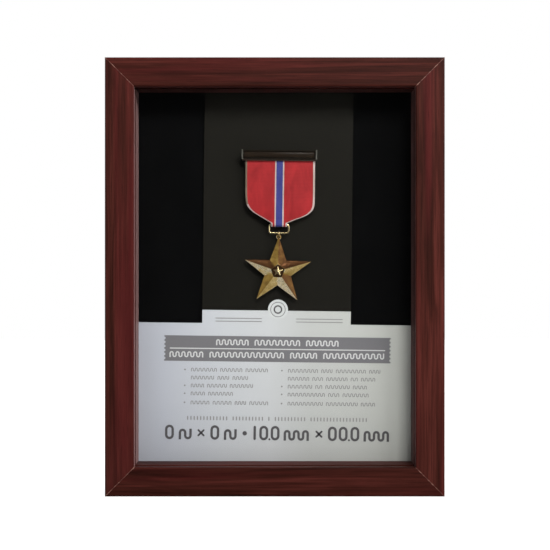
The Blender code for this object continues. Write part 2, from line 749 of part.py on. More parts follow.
def make_rivets(axis, board, fixed, moving, leg, steel):
    """Two rivets through the fixed leaf and the board, two through the moving leaf and the leg."""
    head = [(0, RIVET_HEAD_RISE), (0.6 * RIVET_HEAD_RADIUS, RIVET_HEAD_RISE * 0.85)]
    head += [(RIVET_HEAD_RADIUS, 0.25 * RIVET_HEAD_RISE), (RIVET_HEAD_RADIUS, 0)]
    rows = [
        ("board", fixed, board, -BARREL_RADIUS + LEAF_THICKNESS, BOARD_RIVET_RISE),
        ("leg", moving, leg, BARREL_RADIUS, -LEG_RIVET_DROP),
    ]
    for row, leaf, plate, leaf_back, z in rows:
        shank_length = LEAF_THICKNESS + RIVET_GRIP
        shank = [(RIVET_SHANK_RADIUS, 0), (RIVET_SHANK_RADIUS, -shank_length), (0, -shank_length)]
        for number, side in enumerate((-1, 1), 1):
            rivet = turned_object(f"easel_rivet_{row}_{number}", head + shank, steel)
            spot = (side * RIVET_SPREAD, leaf_back + GAP, z)
            place(rivet, spot, (-pi / 2, 0, 0), axis)
            hole_mesh = cylinder_mesh(
                "rivet_hole", RIVET_SHANK_RADIUS + GAP, 2 * (shank_length + GAP), "Y", 16
            )
            hole = add_tool(f"rivet_hole_{row}_{number}", hole_mesh)
            place(hole, spot, parent=axis)
            boolean(leaf, hole)
            boolean(plate, hole)


def button_outline():
    """A straight bar with round ends, its pivot at the origin and its tip along +x."""
    tip = BUTTON_LENGTH - 2 * BUTTON_RADIUS
    outline = arc((0, 0), BUTTON_RADIUS, 90, 270, 8)
    outline += arc((tip, 0), BUTTON_RADIUS, 270, 450, 8)
    return outline


def screw_profile():
    neck = SCREW_SHANK_RADIUS
    tip = -SCREW_LENGTH
    head = arc((0, SCREW_HEAD_RISE - SCREW_DOME_RADIUS), SCREW_DOME_RADIUS, 90, 45, 4)
    profile = [(max(x, 0.0), z) for x, z in head]
    profile[0] = (0.0, SCREW_HEAD_RISE)
    profile += [
        (SCREW_HEAD_RADIUS, SCREW_HEAD_EDGE),
        (SCREW_HEAD_RADIUS, 0.0),
        (neck, 0.0),
        (neck, tip + SCREW_POINT),
        (0.0, tip),
    ]
    return profile


def make_turn_buttons(rails, brass, steel):
    """Four turn buttons on the back of the side rails, stored along the rails."""
    rear_y = depth_y(FRAME_DEPTH + GAP)
    number = 0
    for side, name in ((-1, "left"), (1, "right")):
        for rise in (1, -1):
            number += 1
            x = side * (FRAME_WIDTH / 2 - BUTTON_INSET)
            z = FRAME_HEIGHT / 2 + rise * BUTTON_OFFSET
            button_mesh = plate_mesh("turn_button", button_outline(), BUTTON_THICKNESS)
            button = add_object(f"turn_button_{number}", button_mesh, brass)
            place(button, (x, rear_y + BUTTON_THICKNESS / 2, z), (0, rise * pi / 2, 0))
            clearance = SCREW_SHANK_RADIUS + GAP
            eye_mesh = cylinder_mesh("eye", clearance, 4 * BUTTON_THICKNESS, "Y", 16)
            eye = add_tool(f"button_eye_{number}", eye_mesh)
            place(eye, (x, rear_y + BUTTON_THICKNESS / 2, z))
            boolean(button, eye)
            head_y = rear_y + BUTTON_THICKNESS + GAP
            screw = turned_object(f"turn_button_screw_{number}", screw_profile(), steel)
            place(screw, (x, head_y, z), (-pi / 2, 0, 0))
            for turn in (0, pi / 2):
                slot = add_tool(f"drive_slot_{number}_{round(turn)}", box_mesh("slot", DRIVE_SLOT))
                place(slot, (0, 0, SCREW_HEAD_RISE), (0, 0, turn + pi / 4), screw)
                boolean(screw, slot)
            bore_length = 2 * (SCREW_LENGTH + GAP)
            bore = add_tool(
                f"screw_bore_{number}", cylinder_mesh("bore", clearance, bore_length, "Y", 16)
            )
            place(bore, (x, head_y, z))
            boolean(rails[name], bore)


def hanger_section():
    """The bent strip seen from above: x along it, y back from its flat ends."""
    half = HANGER_LENGTH / 2
    low = half - HANGER_END
    high = low - HANGER_RAMP
    front = [(-half, 0), (-low, 0), (-high, HANGER_RISE), (high, HANGER_RISE), (low, 0), (half, 0)]
    back = [(x, y + HANGER_THICKNESS) for x, y in reversed(front)]
    return front + back


def make_hanger(name, rail, spot, quarter, steel):
    """A sawtooth hanger nailed to the back of a rail, and its two nails."""
    strip = plate_mesh(name, hanger_section(), HANGER_HEIGHT, flat="XY")
    hanger = add_object(name, strip, steel)
    place(hanger, spot, (0, quarter * pi / 2, 0))
    tooth = TOOTH_PITCH / sqrt(2)
    for count in range(TOOTH_COUNT):
        x = (count - (TOOTH_COUNT - 1) / 2) * TOOTH_PITCH
        notch = add_tool(f"{name}_notch_{count}", box_mesh("notch", (tooth, NOTCH_LENGTH, tooth)))
        place(notch, (x, 0, -HANGER_HEIGHT / 2), (0, pi / 4, 0), hanger)
        boolean(hanger, notch)
    for number, side in enumerate((-1, 1), 1):
        x = side * (HANGER_LENGTH - HANGER_END) / 2
        profile = [
            *HANGER_NAIL_CROWN,
            (HANGER_NAIL_HEAD, 0.0),
            (HANGER_NAIL_RADIUS, 0.0),
            (HANGER_NAIL_RADIUS, -HANGER_NAIL_LENGTH + HANGER_NAIL_POINT),
            (0.0, -HANGER_NAIL_LENGTH),
        ]
        nail = turned_object(f"{name}_nail_{number}", profile, steel, steps=12)
        head = (x, HANGER_THICKNESS + GAP, 0)
        place(nail, head, (-pi / 2, 0, 0), hanger)
        bore_mesh = cylinder_mesh(
            "nail_bore", HANGER_NAIL_RADIUS + GAP, 2 * (HANGER_NAIL_LENGTH + GAP), "Y", 12
        )
        bore = add_tool(f"{name}_bore_{number}", bore_mesh)
        place(bore, head, parent=hanger)
        boolean(hanger, bore)
        boolean(rail, bore)


def make_hangers(rails, steel):
    y = depth_y(FRAME_DEPTH + GAP)
    inset = RAIL_WALL / 2
    top = (0, y, FRAME_HEIGHT - inset)
    side = (-(FRAME_WIDTH / 2 - inset), y, FRAME_HEIGHT / 2)
    make_hanger("hanger_portrait", rails["top"], top, 0, steel)
    make_hanger("hanger_landscape", rails["left"], side, 3, steel)


def build():
    moulding = new_material("mahogany_moulding", (0.062, 0.014, 0.010), 0.42)
    glass = new_material("clear_glass", (0.9, 0.95, 0.93), 0.03, alpha=0.15)
    paper = new_material("printed_card", (0.58, 0.58, 0.58), 0.6)
    velour = new_material("black_velour", (0.004, 0.004, 0.004), 0.95)
    board_material = new_material("black_fibreboard", (0.012, 0.012, 0.012), 0.75)
    black_metal = new_material("black_hinge_steel", (0.02, 0.02, 0.02), 0.4, 0.8)
    steel = new_material("zinc_steel", (0.55, 0.56, 0.58), 0.35, 1.0)
    brass = new_material("brass_plate", (0.62, 0.45, 0.18), 0.35, 1.0)
    bronze = new_material("aged_bronze", (0.24, 0.15, 0.06), 0.35, 1.0)
    gilt = new_material("gilt_wire", (0.6, 0.46, 0.24), 0.3, 1.0)
    dark_bronze = new_material("dark_bronze", (0.03, 0.02, 0.015), 0.3, 0.9)
    fabric = new_material("red_ribbon", (0.33, 0.03, 0.035), 0.8)

    rails = make_frame(moulding)
    make_v_nails(rails, steel)
    make_glass(glass)
    make_spacers(moulding)
    card_frame = make_card_frame()
    make_card(card_frame, paper)
    board = make_backing(card_frame, velour, board_material)
    make_brooch(card_frame, dark_bronze, steel)
    make_ribbon(card_frame, fabric)
    make_loop(card_frame, gilt)
    make_pendant(card_frame, bronze, gilt)
    axis, fixed, moving = make_hinge(black_metal, steel)
    leg = make_leg(axis, board_material)
    make_rivets(axis, board, fixed, moving, leg, steel)
    make_turn_buttons(rails, brass, steel)
    make_hangers(rails, steel)
    bpy.context.view_layer.update()


clear_scene()
PARTS = new_collection("shadow_box")
TOOLS = new_collection("tools")
build()
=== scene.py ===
"""The looks of the medal shadow box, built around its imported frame. Metres, +Z up, front facing -Y."""

from math import cos, pi, radians, sin

import bmesh
import bpy
from mathutils import Matrix, Vector, noise


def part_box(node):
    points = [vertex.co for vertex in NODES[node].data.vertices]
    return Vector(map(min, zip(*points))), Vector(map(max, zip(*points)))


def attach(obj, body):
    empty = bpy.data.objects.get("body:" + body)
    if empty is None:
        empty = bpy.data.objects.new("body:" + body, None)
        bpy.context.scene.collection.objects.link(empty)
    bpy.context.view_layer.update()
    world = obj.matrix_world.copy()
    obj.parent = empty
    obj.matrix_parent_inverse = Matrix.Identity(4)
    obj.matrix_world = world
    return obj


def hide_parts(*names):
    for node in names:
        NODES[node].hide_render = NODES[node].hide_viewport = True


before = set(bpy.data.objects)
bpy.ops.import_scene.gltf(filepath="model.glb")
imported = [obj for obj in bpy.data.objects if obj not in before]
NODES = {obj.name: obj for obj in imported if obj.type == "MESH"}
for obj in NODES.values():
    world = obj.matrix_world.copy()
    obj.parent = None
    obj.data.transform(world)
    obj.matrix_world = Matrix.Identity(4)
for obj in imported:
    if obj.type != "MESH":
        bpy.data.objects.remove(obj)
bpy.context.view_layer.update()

MM = 0.001

# Frame
FRAME_LOW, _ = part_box("frame_rail_left")
_, FRAME_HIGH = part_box("frame_rail_right")
FRONT_Y = FRAME_LOW.y
REAR_Y = FRAME_HIGH.y
RAIL_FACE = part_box("frame_rail_left")[1].x - FRAME_LOW.x
FRAME_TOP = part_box("frame_rail_top")[1].z
LIP_DEPTH = 4.5 * MM
RAIL_WALL = 10.3 * MM
OUTER_EASE = 1.3 * MM
INNER_EASE = 0.8 * MM
MITRE_FILL = 0.26 * MM

# Card frame: x from the card's centre line, z from its foot, set 0.7 degrees clockwise
CARD_LOW, CARD_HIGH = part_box("insert_card")
CARD_FRONT = CARD_LOW.y
CARD_HALF = 76.0 * MM
CARD_HEIGHT = 201.5 * MM
CARD_TILT = radians(0.7)
CARD_FRAME = Matrix.Translation(
    (CARD_LOW.x + CARD_HALF * cos(CARD_TILT), 0, CARD_LOW.z + CARD_HALF * sin(CARD_TILT))
) @ Matrix.Rotation(CARD_TILT, 4, "Y")
INK = 0.03 * MM
# Painted shade on the card, as shares of its own tone, from left to right and from foot to top: darker towards
# both sides and the foot, cooler on the left, warmer on the right
PAINTED_SHADE_ACROSS = (
    (0.0, (0.745, 0.750, 0.835)),
    (0.10, (0.825, 0.830, 0.920)),
    (0.32, (0.960, 0.960, 1.0)),
    (0.48, (0.995, 0.985, 1.0)),
    (0.62, (0.885, 0.875, 0.850)),
    (1.0, (0.890, 0.875, 0.810)),
)
PAINTED_SHADE_UP = tuple(
    (spot, (share,) * 3)
    for spot, share in ((0.0, 0.74), (0.14, 0.82), (0.45, 0.90), (0.65, 0.91), (1.0, 0.94))
)

# Print, in the card frame
PRINT_X = 1.1 * MM
PANEL_TOP = 76.0 * MM
NECK_HALF = 39.3 * MM
NECK_X = 0.4 * MM
DARK_FOOT = 83.0 * MM

# Medal, in the card frame
MEDAL_X = 0.8 * MM
RIBBON_X = 1.1 * MM
BROOCH_Z = 164.9 * MM
BROOCH_LENGTH = 38.1 * MM
BROOCH_HEIGHT = 4.7 * MM
BROOCH_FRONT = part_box("brooch_bar")[0].y
RIBBON_LOW, RIBBON_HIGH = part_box("ribbon")
LOOP_LOW, LOOP_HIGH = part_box("suspension_loop")
LOOP_Y = (LOOP_LOW.y + LOOP_HIGH.y) / 2
LOOP_WIRE = (LOOP_HIGH.y - LOOP_LOW.y) / 2
LOOP_WIDTH = 11.2 * MM
PENDANT_Z = 123.95 * MM
LOOP_TOP_Z = 128.35 * MM
STAR_RADIUS = 18.2 * MM
STAR_VALLEY = 7.3 * MM
STAR_DROP = 20.2 * MM
PENDANT_TILT = radians(1.0)


# --- Materials ---

NOISE_LOW, NOISE_HIGH = 0.3, 0.7


class Surface:
    """A material's nodes, added one at a time around its Principled shader."""

    def __init__(self, name, **plain):
        self.material = bpy.data.materials.new(name)
        self.material.use_nodes = True
        self.nodes = self.material.node_tree.nodes
        self.shader = self.nodes["Principled BSDF"]
        for socket, value in plain.items():
            self.shader.inputs[socket.replace("_", " ")].default_value = value

    def feed(self, socket, value):
        if isinstance(value, bpy.types.NodeSocket):
            self.material.node_tree.links.new(value, socket)
        else:
            socket.default_value = value

    def add(self, kind, inputs=(), **settings):
        node = self.nodes.new(kind)
        for key, value in settings.items():
            setattr(node, key, value)
        for key, value in dict(inputs).items():
            self.feed(node.inputs[key], value)
        return node

    def place(self, scale=(1, 1, 1), shift=(0, 0, 0), turn=(0, 0, 0)):
        """Object coordinates, in metres, scaled per axis."""
        coords = self.add("ShaderNodeTexCoord").outputs["Object"]
        mapping = self.add(
            "ShaderNodeMapping",
            {"Vector": coords, "Scale": scale, "Location": shift, "Rotation": turn},
        )
        return mapping.outputs[0]

    def noise(self, where, detail, rough=0.5, warp=0.0):
        """Noise at a mapped place, or at one scale for all axes, or at one for each."""
        if not isinstance(where, bpy.types.NodeSocket):
            where = self.place(where if isinstance(where, tuple) else (where,) * 3)
        inputs = {"Vector": where, "Scale": 1.0, "Detail": detail, "Roughness": rough, "Distortion": warp}
        return self.add("ShaderNodeTexNoise", inputs).outputs["Fac"]

    def facing(self):
        """The way the surface faces, one output for each axis of the object."""
        return self.add("ShaderNodeSeparateXYZ", {0: self.add("ShaderNodeTexCoord").outputs["Normal"]})

    def math(self, operation, a, b):
        return self.add("ShaderNodeMath", {0: a, 1: b}, operation=operation).outputs[0]

    def weigh(self, a, share_a, b, share_b):
        return self.math("ADD", self.math("MULTIPLY", a, share_a), self.math("MULTIPLY", b, share_b))

    def span(self, value, low, high, to_low=0.0, to_high=1.0):
        inputs = {"Value": value, 1: low, 2: high, 3: to_low, 4: to_high}
        return self.add("ShaderNodeMapRange", inputs).outputs[0]

    def spread(self, pattern, at_low, at_high):
        """The range that a noise mostly keeps to, stretched between two values."""
        return self.span(pattern, NOISE_LOW, NOISE_HIGH, at_low, at_high)

    def ramp(self, value, stops):
        node = self.add("ShaderNodeValToRGB", {"Fac": value})
        ramp = node.color_ramp
        while len(ramp.elements) < len(stops):
            ramp.elements.new(0.5)
        for element, (spot, colour) in zip(ramp.elements, stops):
            element.position = spot
            element.color = (*colour, 1.0)
        return node.outputs["Color"]

    def mix(self, share, a, b, blend="MIX"):
        node = self.add("ShaderNodeMix", data_type="RGBA", blend_type=blend)
        self.feed(node.inputs["Factor"], share)
        for socket, value in ((node.inputs[6], a), (node.inputs[7], b)):
            self.feed(socket, value if isinstance(value, bpy.types.NodeSocket) else (*value, 1.0))
        return node.outputs[2]

    def bands(self, axis, scale, warp, warp_scale):
        """Even bands across one axis of the card."""
        inputs = {"Vector": self.place(turn=(0, -CARD_TILT, 0)), "Scale": scale}
        inputs.update({"Distortion": warp, "Detail": 2.0, "Detail Scale": warp_scale})
        wave = self.add("ShaderNodeTexWave", inputs, wave_type="BANDS", bands_direction=axis)
        return wave.outputs["Fac"]

    def colour(self, value):
        self.feed(self.shader.inputs["Base Color"], value)

    def roughness(self, value):
        self.feed(self.shader.inputs["Roughness"], value)

    def bump(self, height, distance, strength=1.0):
        node = self.add("ShaderNodeBump", {"Height": height, "Distance": distance, "Strength": strength})
        self.feed(self.shader.inputs["Normal"], node.outputs[0])


def along(axis, with_grain, across):
    """Per-axis scale of a pattern that runs along one axis."""
    return tuple(with_grain if i == "XYZ".index(axis) else across for i in range(3))


def mahogany(name, axis, shift, rail_sheen, raw_back=True):
    """Foil-wrapped moulding: long red-brown streaks along the rail, fine dark pores, raw fibre behind.

    The sheen weight is given for each rail as painted sheen: high on walls that catch the light, low on the
    others."""
    surface = Surface(name, Specular_IOR_Level=0.05, Sheen_Weight=rail_sheen, Sheen_Roughness=0.4)
    surface.shader.inputs["Sheen Tint"].default_value = (1.0, 0.62, 0.62, 1.0)
    sway = surface.noise(surface.place(along(axis, 9, 30), shift), 2.0)
    wander = surface.add("ShaderNodeCombineXYZ", {i: surface.span(sway, 0, 1, -0.9, 0.9) for i in range(3)})
    broad_place = surface.place(along(axis, 7, 190), shift)
    broad_at = surface.add("ShaderNodeVectorMath", {0: broad_place, 1: wander.outputs[0]}, operation="ADD")
    broad = surface.noise(broad_at.outputs[0], 5.0, 0.55)
    streak = surface.noise(surface.place(along(axis, 22, 1100), shift), 6.0, 0.62, 0.25)
    pores = surface.noise(surface.place(along(axis, 90, 4200), shift), 2.0, 0.5)
    grain = surface.weigh(broad, 0.62, streak, 0.42)
    stops = (
        (0.36, (0.0100, 0.0022, 0.0012)),
        (0.47, (0.0280, 0.0063, 0.0040)),
        (0.56, (0.0455, 0.0098, 0.0068)),
        (0.67, (0.0820, 0.0178, 0.0134)),
    )
    tone = surface.ramp(grain, stops)
    redder = surface.noise(surface.place(along(axis, 5, 120), tuple(s + 3 for s in shift)), 2.0)
    tone = surface.mix(surface.span(redder, 0.48, 0.68, 0, 0.6), tone, (0.074, 0.0095, 0.0095))
    pore_share = surface.span(pores, 0.60, 0.72, 0.0, 0.55)
    tone = surface.mix(pore_share, tone, (0.0110, 0.0024, 0.0018))
    relief = surface.math("SUBTRACT", surface.math("MULTIPLY", streak, 0.35), pore_share)
    rough = surface.spread(streak, 0.42, 0.54)
    if raw_back:
        behind = surface.span(surface.facing().outputs[1], 0.80, 0.86)
        specks = surface.noise(surface.place((1500, 1500, 1500), shift), 4.0, 0.7)
        fibre = surface.ramp(specks, [(0.32, (0.135, 0.082, 0.045)), (0.66, (0.262, 0.176, 0.105))])
        tone = surface.mix(behind, tone, fibre)
        rough = surface.math("MAXIMUM", rough, surface.math("MULTIPLY", behind, 0.85))
    surface.colour(tone)
    surface.roughness(rough)
    surface.bump(relief, 0.03 * MM, 0.55)
    return surface.material


def mitre_glue():
    """The filled mitre: worn pale in places, stained as the rails elsewhere."""
    surface = Surface("mitre_glue", Specular_IOR_Level=0.2)
    broken = surface.noise(420, 3.0, 0.6)
    fleck = surface.noise(2400, 2.0, 0.5)
    tone = surface.ramp(
        broken,
        [(0.36, (0.060, 0.0170, 0.0130)), (0.50, (0.125, 0.046, 0.036)), (0.62, (0.270, 0.145, 0.112))],
    )
    surface.colour(surface.mix(surface.span(fleck, 0.55, 0.75, 0, 0.5), tone, (0.05, 0.014, 0.011)))
    surface.roughness(surface.spread(fleck, 0.5, 0.7))
    surface.bump(fleck, 0.02 * MM, 0.5)
    return surface.material


def pane_glass():
    """A clear pane that lets lamps through and mirrors a little, on the face where light comes in."""
    surface = Surface("pane_glass")
    smudge = surface.noise(60, 4.0, 0.6)
    clear = surface.add("ShaderNodeBsdfTransparent", {"Color": (0.985, 0.995, 0.99, 1.0)})
    mirror = surface.add("ShaderNodeBsdfGlossy", {"Color": (1, 1, 1, 1)})
    surface.feed(mirror.inputs["Roughness"], surface.span(smudge, 0.35, 0.75, 0.01, 0.05))
    fresnel = surface.add("ShaderNodeFresnel", {"IOR": 1.22}).outputs[0]
    inside = surface.add("ShaderNodeNewGeometry").outputs["Backfacing"]
    share = surface.math("MULTIPLY", fresnel, surface.math("SUBTRACT", 1.0, inside))
    mixed = surface.add("ShaderNodeMixShader", {0: share})
    surface.feed(mixed.inputs[1], clear.outputs[0])
    surface.feed(mixed.inputs[2], mirror.outputs[0])
    surface.feed(surface.nodes["Material Output"].inputs["Surface"], mixed.outputs[0])
    surface.nodes.remove(surface.shader)
    return surface.material


def velour():
    """Short black pile: almost no light comes back, but for a soft gleam at a low angle."""
    surface = Surface("black_velour", Sheen_Weight=0.012, Sheen_Roughness=0.45, Specular_IOR_Level=0.04)
    nap = surface.noise((55, 55, 38), 3.0, 0.5)
    pile = surface.noise(5200, 2.0, 0.7)
    tone = surface.mix(nap, (0.0012, 0.0012, 0.0014), (0.0036, 0.0035, 0.0038))
    surface.colour(surface.mix(surface.span(pile, 0.4, 0.7, 0, 0.5), tone, (0.0006, 0.0006, 0.0007)))
    surface.roughness(surface.spread(pile, 0.86, 1.0))
    surface.bump(pile, 0.12 * MM, 0.8)
    return surface.material


def printed(name, tone, rough=0.42, painted_shade=False, specular=0.35):
    """Ink on coated card: a fine tooth, faint mottling, and, when asked, painted shade: the sheet darker towards
    its sides and foot, cooler on the left, warmer on the right.
    """
    surface = Surface(name, Specular_IOR_Level=specular)
    tooth = surface.noise(2600, 3.0, 0.6)
    cloud = surface.noise(22, 3.0, 0.5)
    base = surface.mix(cloud, tuple(0.97 * c for c in tone), tuple(1.03 * c for c in tone))
    # Painted shade: the tone is scaled down towards the card's sides and foot, where less light falls
    if painted_shade:
        sides = surface.add("ShaderNodeSeparateXYZ", {0: surface.place()})
        across, up = (0, -74 * MM, 74 * MM, PAINTED_SHADE_ACROSS), (2, 12 * MM, 92 * MM, PAINTED_SHADE_UP)
        for output, low, high, stops in (across, up):
            painted_shade_ramp = surface.ramp(surface.span(sides.outputs[output], low, high), stops)
            base = surface.mix(1.0, base, painted_shade_ramp, "MULTIPLY")
    surface.colour(base)
    surface.roughness(surface.spread(tooth, rough - 0.04, rough + 0.06))
    surface.bump(tooth, 0.006 * MM, 0.5)
    return surface.material


def woven(name, tone, shade):
    """Ribbed silk: fine cross ribs, finer warp threads, and a watered sheen."""
    surface = Surface(name, Sheen_Weight=0.04, Sheen_Roughness=0.35, Specular_IOR_Level=0.18)
    ribs = surface.bands("Z", 420.0, 0.5, 6.0)
    warp = surface.bands("X", 900.0, 0.8, 1.0)
    water = surface.noise((160, 160, 60), 4.0, 0.6, 0.8)
    cloth = surface.mix(surface.span(water, 0.32, 0.68), shade, tone)
    threads = surface.weigh(ribs, 0.7, warp, 0.3)
    surface.colour(surface.mix(surface.span(threads, 0, 1, 0.28, 0), cloth, tuple(0.45 * c for c in shade)))
    surface.roughness(surface.spread(water, 0.62, 0.46))
    surface.bump(threads, 0.05 * MM, 0.7)
    return surface.material


def aged_metal(name, bright, dark, rough):
    """Struck metal with tarnish in patches and hollows, polished where it has been handled."""
    surface = Surface(name, Metallic=1.0)
    patches = surface.noise(420, 5.0, 0.6, 0.4)
    fine = surface.noise(3600, 3.0, 0.65)
    edges = surface.add("ShaderNodeNewGeometry").outputs["Pointiness"]
    hollow = surface.span(edges, 0.40, 0.54, 1.0, 0.0)
    dirt = surface.math("MULTIPLY", hollow, surface.span(patches, 0.25, 0.75, 0.6, 1.0))
    patina = surface.math("MAXIMUM", dirt, surface.span(patches, 0.50, 0.85, 0.0, 0.7))
    surface.colour(surface.mix(patina, bright, dark))
    surface.roughness(surface.math("ADD", surface.spread(fine, rough - 0.06, rough + 0.08),
                                   surface.math("MULTIPLY", patina, 0.22)))
    surface.bump(fine, 0.01 * MM, 0.5)
    return surface.material


def struck_bronze():
    """The star's bronze: painted highlight on its lower and left-facing facets, painted shade on the upper ones, a
    painted highlight along the sharpest ridges, and a random cloudy tone.
    """
    surface = Surface("star_bronze", Metallic=0.6, Specular_IOR_Level=0.08)
    facing = surface.facing()
    # Painted light: facets that face down and to the left are made lighter, facets that face up darker
    painted_facet_light = surface.weigh(facing.outputs[0], -0.42, facing.outputs[2], -0.91)
    cloud = surface.noise(330, 5.0, 0.6, 0.4)
    fine = surface.noise(3600, 3.0, 0.65)
    tone_and_painted_light = surface.math("ADD", surface.span(painted_facet_light, -0.42, 0.42), surface.span(cloud, 0.25, 0.75, -0.16, 0.16))
    # Painted highlight: the sharpest ridges are made lighter
    edges = surface.add("ShaderNodeNewGeometry").outputs["Pointiness"]
    tone_and_painted_light = surface.math("ADD", tone_and_painted_light, surface.span(edges, 0.515, 0.60, 0.0, 0.5))
    stops = (
        (0.10, (0.046, 0.018, 0.006)),
        (0.36, (0.130, 0.066, 0.018)),
        (0.62, (0.370, 0.225, 0.055)),
        (0.86, (0.720, 0.520, 0.215)),
        (1.00, (0.950, 0.800, 0.560)),
    )
    surface.colour(surface.ramp(tone_and_painted_light, stops))
    surface.roughness(surface.math("SUBTRACT", surface.spread(fine, 0.30, 0.42),
                                   surface.math("MULTIPLY", tone_and_painted_light, 0.08)))
    surface.bump(fine, 0.01 * MM, 0.4)
    return surface.material


def plated(name, tone, rough=0.28, axis="X"):
    """Stamped and plated sheet: faint drawing lines one way, dull spots."""
    surface = Surface(name, Metallic=1.0)
    lines = surface.noise(along(axis, 120, 4200), 3.0, 0.6)
    spots = surface.noise(260, 4.0, 0.6)
    darker = tuple(0.62 * c for c in tone)
    surface.colour(surface.mix(surface.span(spots, 0.45, 0.75, 0, 0.55), tone, darker))
    surface.roughness(surface.math("ADD", surface.spread(lines, rough - 0.06, rough + 0.12),
                                   surface.span(spots, 0.4, 0.8, 0.0, 0.12)))
    surface.bump(lines, 0.008 * MM, 0.5)
    return surface.material


def hinge_lacquer():
    """Black lacquer with a slight orange peel and small worn spots."""
    surface = Surface("hinge_lacquer", Metallic=0.2, Coat_Weight=0.25, Coat_Roughness=0.25)
    peel = surface.noise(900, 2.0, 0.5)
    worn = surface.noise(320, 6.0, 0.7)
    black, rubbed = (0.012, 0.012, 0.013), (0.09, 0.085, 0.08)
    surface.colour(surface.mix(surface.span(worn, 0.62, 0.78, 0, 0.4), black, rubbed))
    surface.roughness(surface.span(worn, 0.35, 0.75, 0.31, 0.51))
    surface.bump(peel, 0.02 * MM, 0.4)
    return surface.material


def board_paper():
    """Black paper over fibreboard: a felt-like tooth with paler fibres."""
    surface = Surface("black_board_paper", Specular_IOR_Level=0.25)
    felt = surface.noise(900, 6.0, 0.7)
    strands = surface.noise(surface.place((240, 240, 1500), turn=(0, 0.4, 0)), 4.0, 0.6, 1.2)
    cloud = surface.noise(18, 3.0, 0.5)
    tone = surface.mix(cloud, (0.0105, 0.0105, 0.0115), (0.0175, 0.0170, 0.0165))
    tone = surface.mix(surface.span(strands, 0.60, 0.74, 0, 0.5), tone, (0.045, 0.043, 0.040))
    surface.colour(tone)
    surface.roughness(surface.spread(felt, 0.62, 0.86))
    surface.bump(felt, 0.05 * MM, 0.6)
    return surface.material


def floor_paper():
    """Pale studio paper: as white as the backdrop to the camera, and dark in reflections."""
    surface = Surface("studio_floor", Specular_IOR_Level=0.1)
    tooth = surface.noise(30, 3.0, 0.5)
    paper = surface.mix(tooth, (0.46, 0.46, 0.46), (0.50, 0.50, 0.50))
    surface.roughness(surface.spread(tooth, 0.8, 0.95))
    surface.shader.inputs["Emission Color"].default_value = (1, 1, 1, 1)
    rays = surface.add("ShaderNodeLightPath")
    seen = surface.math("MULTIPLY", rays.outputs["Is Camera Ray"], 0.86)
    surface.feed(surface.shader.inputs["Emission Strength"], seen)
    surface.colour(surface.mix(rays.outputs["Is Glossy Ray"], paper, (0.09, 0.09, 0.09)))
    return surface.material


# --- Geometry helpers ---


def add_object(name, data):
    obj = bpy.data.objects.new(name, data)
    bpy.context.scene.collection.objects.link(obj)
    return obj


def shade(mesh, degrees):
    """Smooth shading, broken at edges sharper than an angle."""
    mesh.shade_smooth()
    mesh.set_sharp_from_angle(angle=radians(degrees))


def make_piece(name, shape, material, body, matrix=Matrix.Identity(4), smooth=None):
    """A finished piece from a bmesh, in the row frame, riding on its body."""
    bmesh.ops.recalc_face_normals(shape, faces=shape.faces)
    mesh = bpy.data.meshes.new(name)
    shape.to_mesh(mesh)
    shape.free()
    mesh.transform(matrix)
    for entry in material if isinstance(material, list) else [material]:
        mesh.materials.append(entry)
    if smooth is not None:
        shade(mesh, smooth)
    obj = add_object(name, mesh)
    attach(obj, body)
    return obj


def soften(obj, width, segments=2, angle=35):
    bevel = obj.modifiers.new("Soften", "BEVEL")
    bevel.width = width
    bevel.segments = segments
    bevel.limit_method = "ANGLE"
    bevel.angle_limit = radians(angle)
    bevel.harden_normals = False
    return obj


def bridge(shape, a, b):
    """Quads between two closed loops with the same number of corners."""
    for i in range(len(a)):
        j = (i + 1) % len(a)
        shape.faces.new((a[i], a[j], b[j], b[i]))


def prism(shape, outline, near, far):
    """A flat outline of (x, z), from y = near back to y = far."""
    front = [shape.verts.new((x, near, z)) for x, z in outline]
    back = [shape.verts.new((x, far, z)) for x, z in outline]
    shape.faces.new(front)
    shape.faces.new(back[::-1])
    bridge(shape, front, back)


def band(shape, outer, inner, near, far):
    """A flat closed stripe between two outlines with the same number of points."""
    corners = ((outer, near), (inner, near), (inner, far), (outer, far))
    loops = [[shape.verts.new((x, y, z)) for x, z in outline] for outline, y in corners]
    for a, b in zip(loops, loops[1:] + loops[:1]):
        bridge(shape, a, b)


def arc(centre, radius, start, end, steps):
    angles = [radians(start + (end - start) * i / steps) for i in range(steps + 1)]
    return [(centre[0] + radius * cos(a), centre[1] + radius * sin(a)) for a in angles]


def pill(centre, width, height, steps=3):
    """A bar with round ends, whichever way is longer."""
    x, z = centre
    if height >= width:
        reach = (height - width) / 2
        return arc((x, z + reach), width / 2, 0, 180, steps) + arc((x, z - reach), width / 2, 180, 360, steps)
    reach = (width - height) / 2
    return arc((x + reach, z), height / 2, -90, 90, steps) + arc((x - reach, z), height / 2, 90, 270, steps)


def dot(centre, width, steps=3):
    """A round dot, a hair taller than wide so that its two halves share no corner."""
    return pill(centre, width, width + 0.01 * MM, steps)


def oval(centre, width, height, stroke, steps=8):
    """A stadium-shaped ring, as a pair of outlines."""
    outer = pill(centre, width, height, steps)
    return outer, pill(centre, width - 2 * stroke, height - 2 * stroke, steps)


def rectangle(left, right, foot, top):
    return [(left, foot), (right, foot), (right, top), (left, top)]


def tube(shape, path, radius, sides=14):
    """A round wire along a flat closed path of points, in the plane y = 0."""
    rings = []
    for i, point in enumerate(path):
        ahead = (Vector(path[(i + 1) % len(path)]) - Vector(path[i - 1])).normalized()
        across = Vector((-ahead.y, ahead.x))
        ring = []
        for k in range(sides):
            turn = 2 * pi * k / sides
            out = across * (radius * cos(turn))
            ring.append(shape.verts.new((point[0] + out.x, radius * sin(turn), point[1] + out.y)))
        rings.append(ring)
    for a, b in zip(rings, rings[1:] + rings[:1]):
        bridge(shape, a, b)


